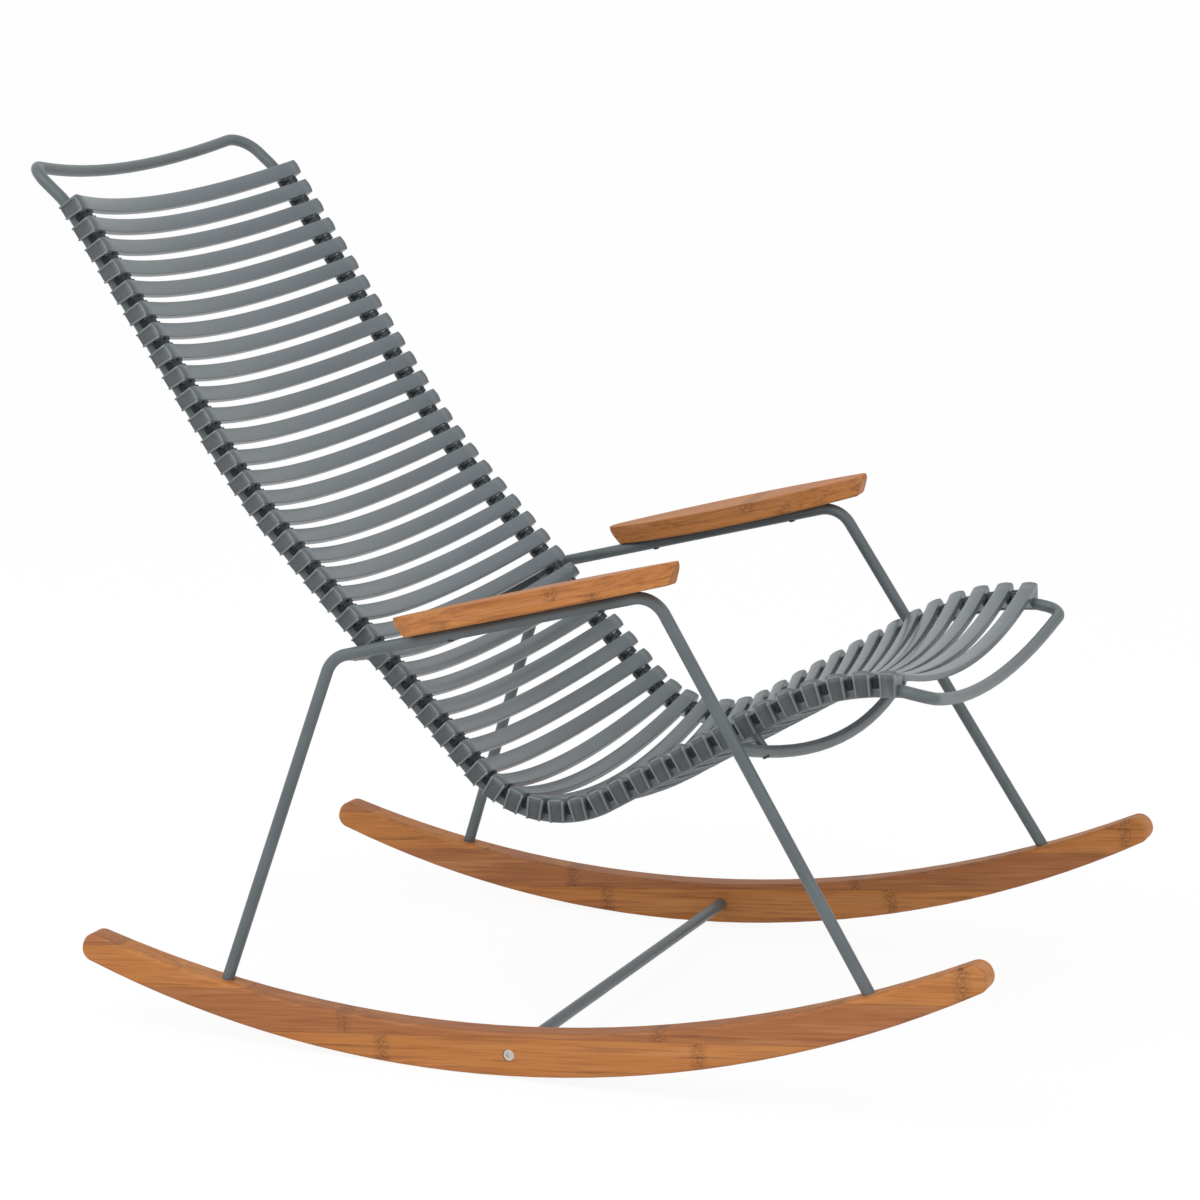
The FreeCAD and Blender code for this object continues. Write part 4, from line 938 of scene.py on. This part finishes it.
class AddBars(bpy.types.Operator):
    """Add the seat frame, the side frames, the cross bars and the bar between the rockers"""

    bl_idname = "rocking_chair.add_bars"
    bl_label = "Bars"

    def execute(self, context):
        sizes = context.scene.rocking_chair
        rail, bars = sizes.rail, sizes.bars
        self.tree = round_bar_tree()
        self.sides = bars.sides
        # the seat frame's coat gets painted shade on the rails' inner side
        line = rail_route(rail, 0).points
        rails = (line[-1].x, line[0].z, rail.spacing / 2)
        self.paint = paint_finish(sizes.finish, "Seat frame's coat", rails)
        self.add_bar("seat_frame_bar", [seat_line(rail)], bars.diameter, ["seat_frame"], closed=True)
        self.paint = paint_finish(sizes.finish, "Powder coat")
        corners = side_corners(bars)
        right = bent_line(corners, (bars.rear_radius, bars.front_radius))
        self.add_bar("side_frame_right_bar", [right], bars.diameter, ["side_frame_right"])
        self.add_bar("side_frame_left_bar", [mirrored(right)], bars.diameter, ["side_frame_left"])
        _, rear, front, front_foot = corners
        leg = (front_foot - front).normalized()
        arm = (front - rear).normalized()
        seat_down = in_plane(math.sin(rail.seat_angle), -math.cos(rail.seat_angle))
        back_down = in_plane(-math.sin(rail.lower_angle), -math.cos(rail.lower_angle))
        self.add_cross_bar("front_cross_bar", front + leg * bars.front_cross, seat_down, rail, bars)
        self.add_cross_bar("rear_cross_bar", rear + arm * bars.rear_cross, back_down, rail, bars)
        reach = (bars.rocker_spacing - bars.rocker_thickness) / 2 - STRETCHER_GAP
        ends = [in_plane(bars.stretcher_x, bars.stretcher_z, side * reach) for side in (-1, 1)]
        self.add_bar("rocker_stretcher_bar", [ends], bars.diameter, ["rocker_stretcher"])
        return {"FINISHED"}

    def add_bar(self, name, lines, diameter, nodes, closed=False):
        """One bar, or several of one thickness."""
        values = {"Diameter": diameter, "Sides": self.sides, "Material": self.paint}
        bar = grown(line_object(f"{name}_line", lines, closed), self.tree, name, values)
        place_piece(bar, nodes)

    def add_cross_bar(self, name, end, square, rail, bars):
        """A sagging bar between the side frames, with a post up to each seat rail."""
        middle = in_plane(end.x, end.z) + square * bars.cross_sag
        line = sagging_line(end, middle)
        half = rail.spacing / 2
        foot = min(line, key=lambda point: abs(point.y + half))
        top = nearest(rail_route(rail, -half).points, foot)
        self.add_bar(f"{name}_bar", [line], bars.diameter, [name])
        posts = [[foot, top], mirrored([foot, top])]
        self.add_bar(f"{name}_posts", posts, bars.post, [name])


class AddSlats(bpy.types.Operator):
    """Add the slats, at even steps along the rail"""

    bl_idname = "rocking_chair.add_slats"
    bl_label = "Slats"

    def execute(self, context):
        sizes = context.scene.rocking_chair
        route = rail_route(sizes.rail, 0)
        runs = [(end - start).length for start, end in zip(route.points, route.points[1:])]
        pitch = sum(runs) / (SLAT_COUNT - 1)
        start = route.points[0]
        heading = (route.points[1] - start).normalized()
        kinds = {
            "First slat": self.flat_slat("slat_01", start, heading),
            "Slat": self.flat_slat("slat_02", start + heading * pitch, heading),
            "Last slat": self.flat_slat(f"slat_{SLAT_COUNT:02d}", route.points[-1], route.heading),
        }
        values = {"Count": SLAT_COUNT, "Material": slat_finish(sizes.finish), **kinds}
        slats = grown(line_object("rail_line", [route.points]), slats_tree(), "slats", values)
        for kind in kinds.values():
            bpy.data.objects.remove(kind)
        place_piece(slats, [f"slat_{number:02d}" for number in range(1, SLAT_COUNT + 1)])
        return {"FINISHED"}

    def flat_slat(self, node, place, heading):
        """A slat's shape in its own frame: X along the rail, Z square to it."""
        normal = in_plane(-heading.z, heading.x)
        turned = Matrix((heading, ACROSS, normal)).transposed().to_4x4()
        turned.translation = place
        shape = bmesh.new()
        shape.from_mesh(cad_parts[node].data)
        shape.transform(turned.inverted())
        bmesh.ops.remove_doubles(shape, verts=shape.verts, dist=MERGE_DISTANCE)
        in_slat = shape.verts.layers.float_vector.new(IN_SLAT)
        for vertex in shape.verts:
            vertex[in_slat] = vertex.co
        slat = mesh_object(f"{node}_flat", shape)
        slat.data.shade_smooth()
        slat.data.set_sharp_from_angle(angle=SLAT_CREASE)
        return slat


class AddBamboo(bpy.types.Operator):
    """Dress the rockers and the armrests in laminated bamboo"""

    bl_idname = "rocking_chair.add_bamboo"
    bl_label = "Bamboo"

    def execute(self, context):
        sizes = context.scene.rocking_chair
        bars = sizes.bars
        finish = sizes.finish
        slope = finish.strip_slope
        along = in_plane(math.cos(slope), math.sin(slope))
        up = in_plane(-math.sin(slope), math.cos(slope))
        rocker = bamboo_finish(
            finish, "Bamboo of the rockers", along, up, finish.rocker_joint, finish.rocker_contrast)
        arm = in_plane(bars.front_x - bars.rear_x, bars.front_z - bars.rear_z).normalized()
        over = in_plane(-arm.z, arm.x)
        joint = in_plane(bars.rear_x, bars.rear_z).dot(over) + finish.armrest_joint
        board = bamboo_finish(
            finish, "Bamboo of the armrests", arm, over, joint, finish.armrest_contrast)
        for side in ("right", "left"):
            dress(f"rocker_{side}", rocker)
            dress(f"armrest_{side}", board)
        return {"FINISHED"}


class AddScrews(bpy.types.Operator):
    """Add the flat-headed screws of the rockers and dress those of the frame"""

    bl_idname = "rocking_chair.add_screws"
    bl_label = "Screws"

    def execute(self, context):
        sizes = context.scene.rocking_chair
        bars, screws = sizes.bars, sizes.screws
        steel = steel_finish("Stainless steel", sizes.finish.steel)
        places = bmesh.new()
        outwards = places.verts.layers.float_vector.new(OUTWARDS)
        face = (bars.rocker_spacing + bars.rocker_thickness) / 2 - screws.sink
        for side in (-1, 1):
            centre = in_plane(bars.stretcher_x, bars.stretcher_z, side * face)
            places.verts.new(centre)[outwards] = ACROSS * side
        points = mesh_object("screw_places", places)
        head = self.head(screws)
        made = grown(points, screws_tree(), "rocker_screw_heads", {"Screw": head, "Material": steel})
        bpy.data.objects.remove(head)
        place_piece(made, ["rocker_screws"])
        dress("frame_screws", steel_finish("Blackened steel", sizes.finish.dark_steel))
        return {"FINISHED"}

    def head(self, screws):
        """A screw head whose face is at the origin and looks along +Z."""
        radius, chamfer, rounds = screws.head / 2, screws.chamfer, screws.rounds
        hexagon = screws.socket / 2
        back = radius * 0.9
        rim, rim_drop = radius - chamfer * 0.4, chamfer * 0.25
        mouth, mouth_drop = hexagon + chamfer * 0.9, chamfer * 0.4
        tip, tip_depth = hexagon * 0.3, screws.depth * 1.2
        rings = (
            (back, -screws.height, False),
            (radius, -screws.height, False),
            (radius, -chamfer, False),
            (rim, -rim_drop, False),
            (radius - chamfer, 0, False),
            (mouth, 0, True),
            (hexagon, -mouth_drop, True),
            (hexagon, -screws.depth, True),
            (tip, -tip_depth, True),
        )
        shape = bmesh.new()
        made = []
        for reach, height, six in rings:
            ring = []
            for step in range(rounds):
                angle = 2 * math.pi * step / rounds
                spread = reach / math.cos((angle % (math.pi / 3)) - math.pi / 6) if six else reach
                ring.append(shape.verts.new((spread * math.cos(angle), spread * math.sin(angle), height)))
            made.append(ring)
        for low, high in zip(made, made[1:]):
            for step in range(rounds):
                after = (step + 1) % rounds
                shape.faces.new((low[step], low[after], high[after], high[step]))
        shape.faces.new(made[0][::-1])
        shape.faces.new(made[-1])
        bmesh.ops.recalc_face_normals(shape, faces=shape.faces)
        head = mesh_object("screw_head", shape)
        head.data.shade_smooth()
        head.data.set_sharp_from_angle(angle=SCREW_CREASE)
        return head


class ChairPanel(bpy.types.Panel):
    """The chair's operators and values"""

    bl_idname = "VIEW3D_PT_rocking_chair"
    bl_label = "Rocking lounge chair"
    bl_space_type = "VIEW_3D"
    bl_region_type = "UI"
    bl_category = "Chair"

    def draw(self, context):
        sizes = context.scene.rocking_chair
        for operator in OPERATORS:
            self.layout.operator(operator.bl_idname)
        for group in (sizes.rail, sizes.bars, sizes.screws, sizes.finish, sizes.stage):
            box = self.layout.box()
            for name in group.__annotations__:
                box.prop(group, name)


GROUPS = (RailSizes, BarSizes, ScrewSizes, Finishes, StageSizes, ChairSizes)
OPERATORS = (AddStage, AddBars, AddSlats, AddBamboo, AddScrews)


def register():
    for kind in (*GROUPS, *OPERATORS, ChairPanel):
        bpy.utils.register_class(kind)
    bpy.types.Scene.rocking_chair = bpy.props.PointerProperty(type=ChairSizes)


def unregister():
    del bpy.types.Scene.rocking_chair
    for kind in reversed((*GROUPS, *OPERATORS, ChairPanel)):
        bpy.utils.unregister_class(kind)


def main():
    register()
    for operator in OPERATORS:
        group, name = operator.bl_idname.split(".")
        getattr(getattr(bpy.ops, group), name)()


if __name__ == "__main__":
    main()
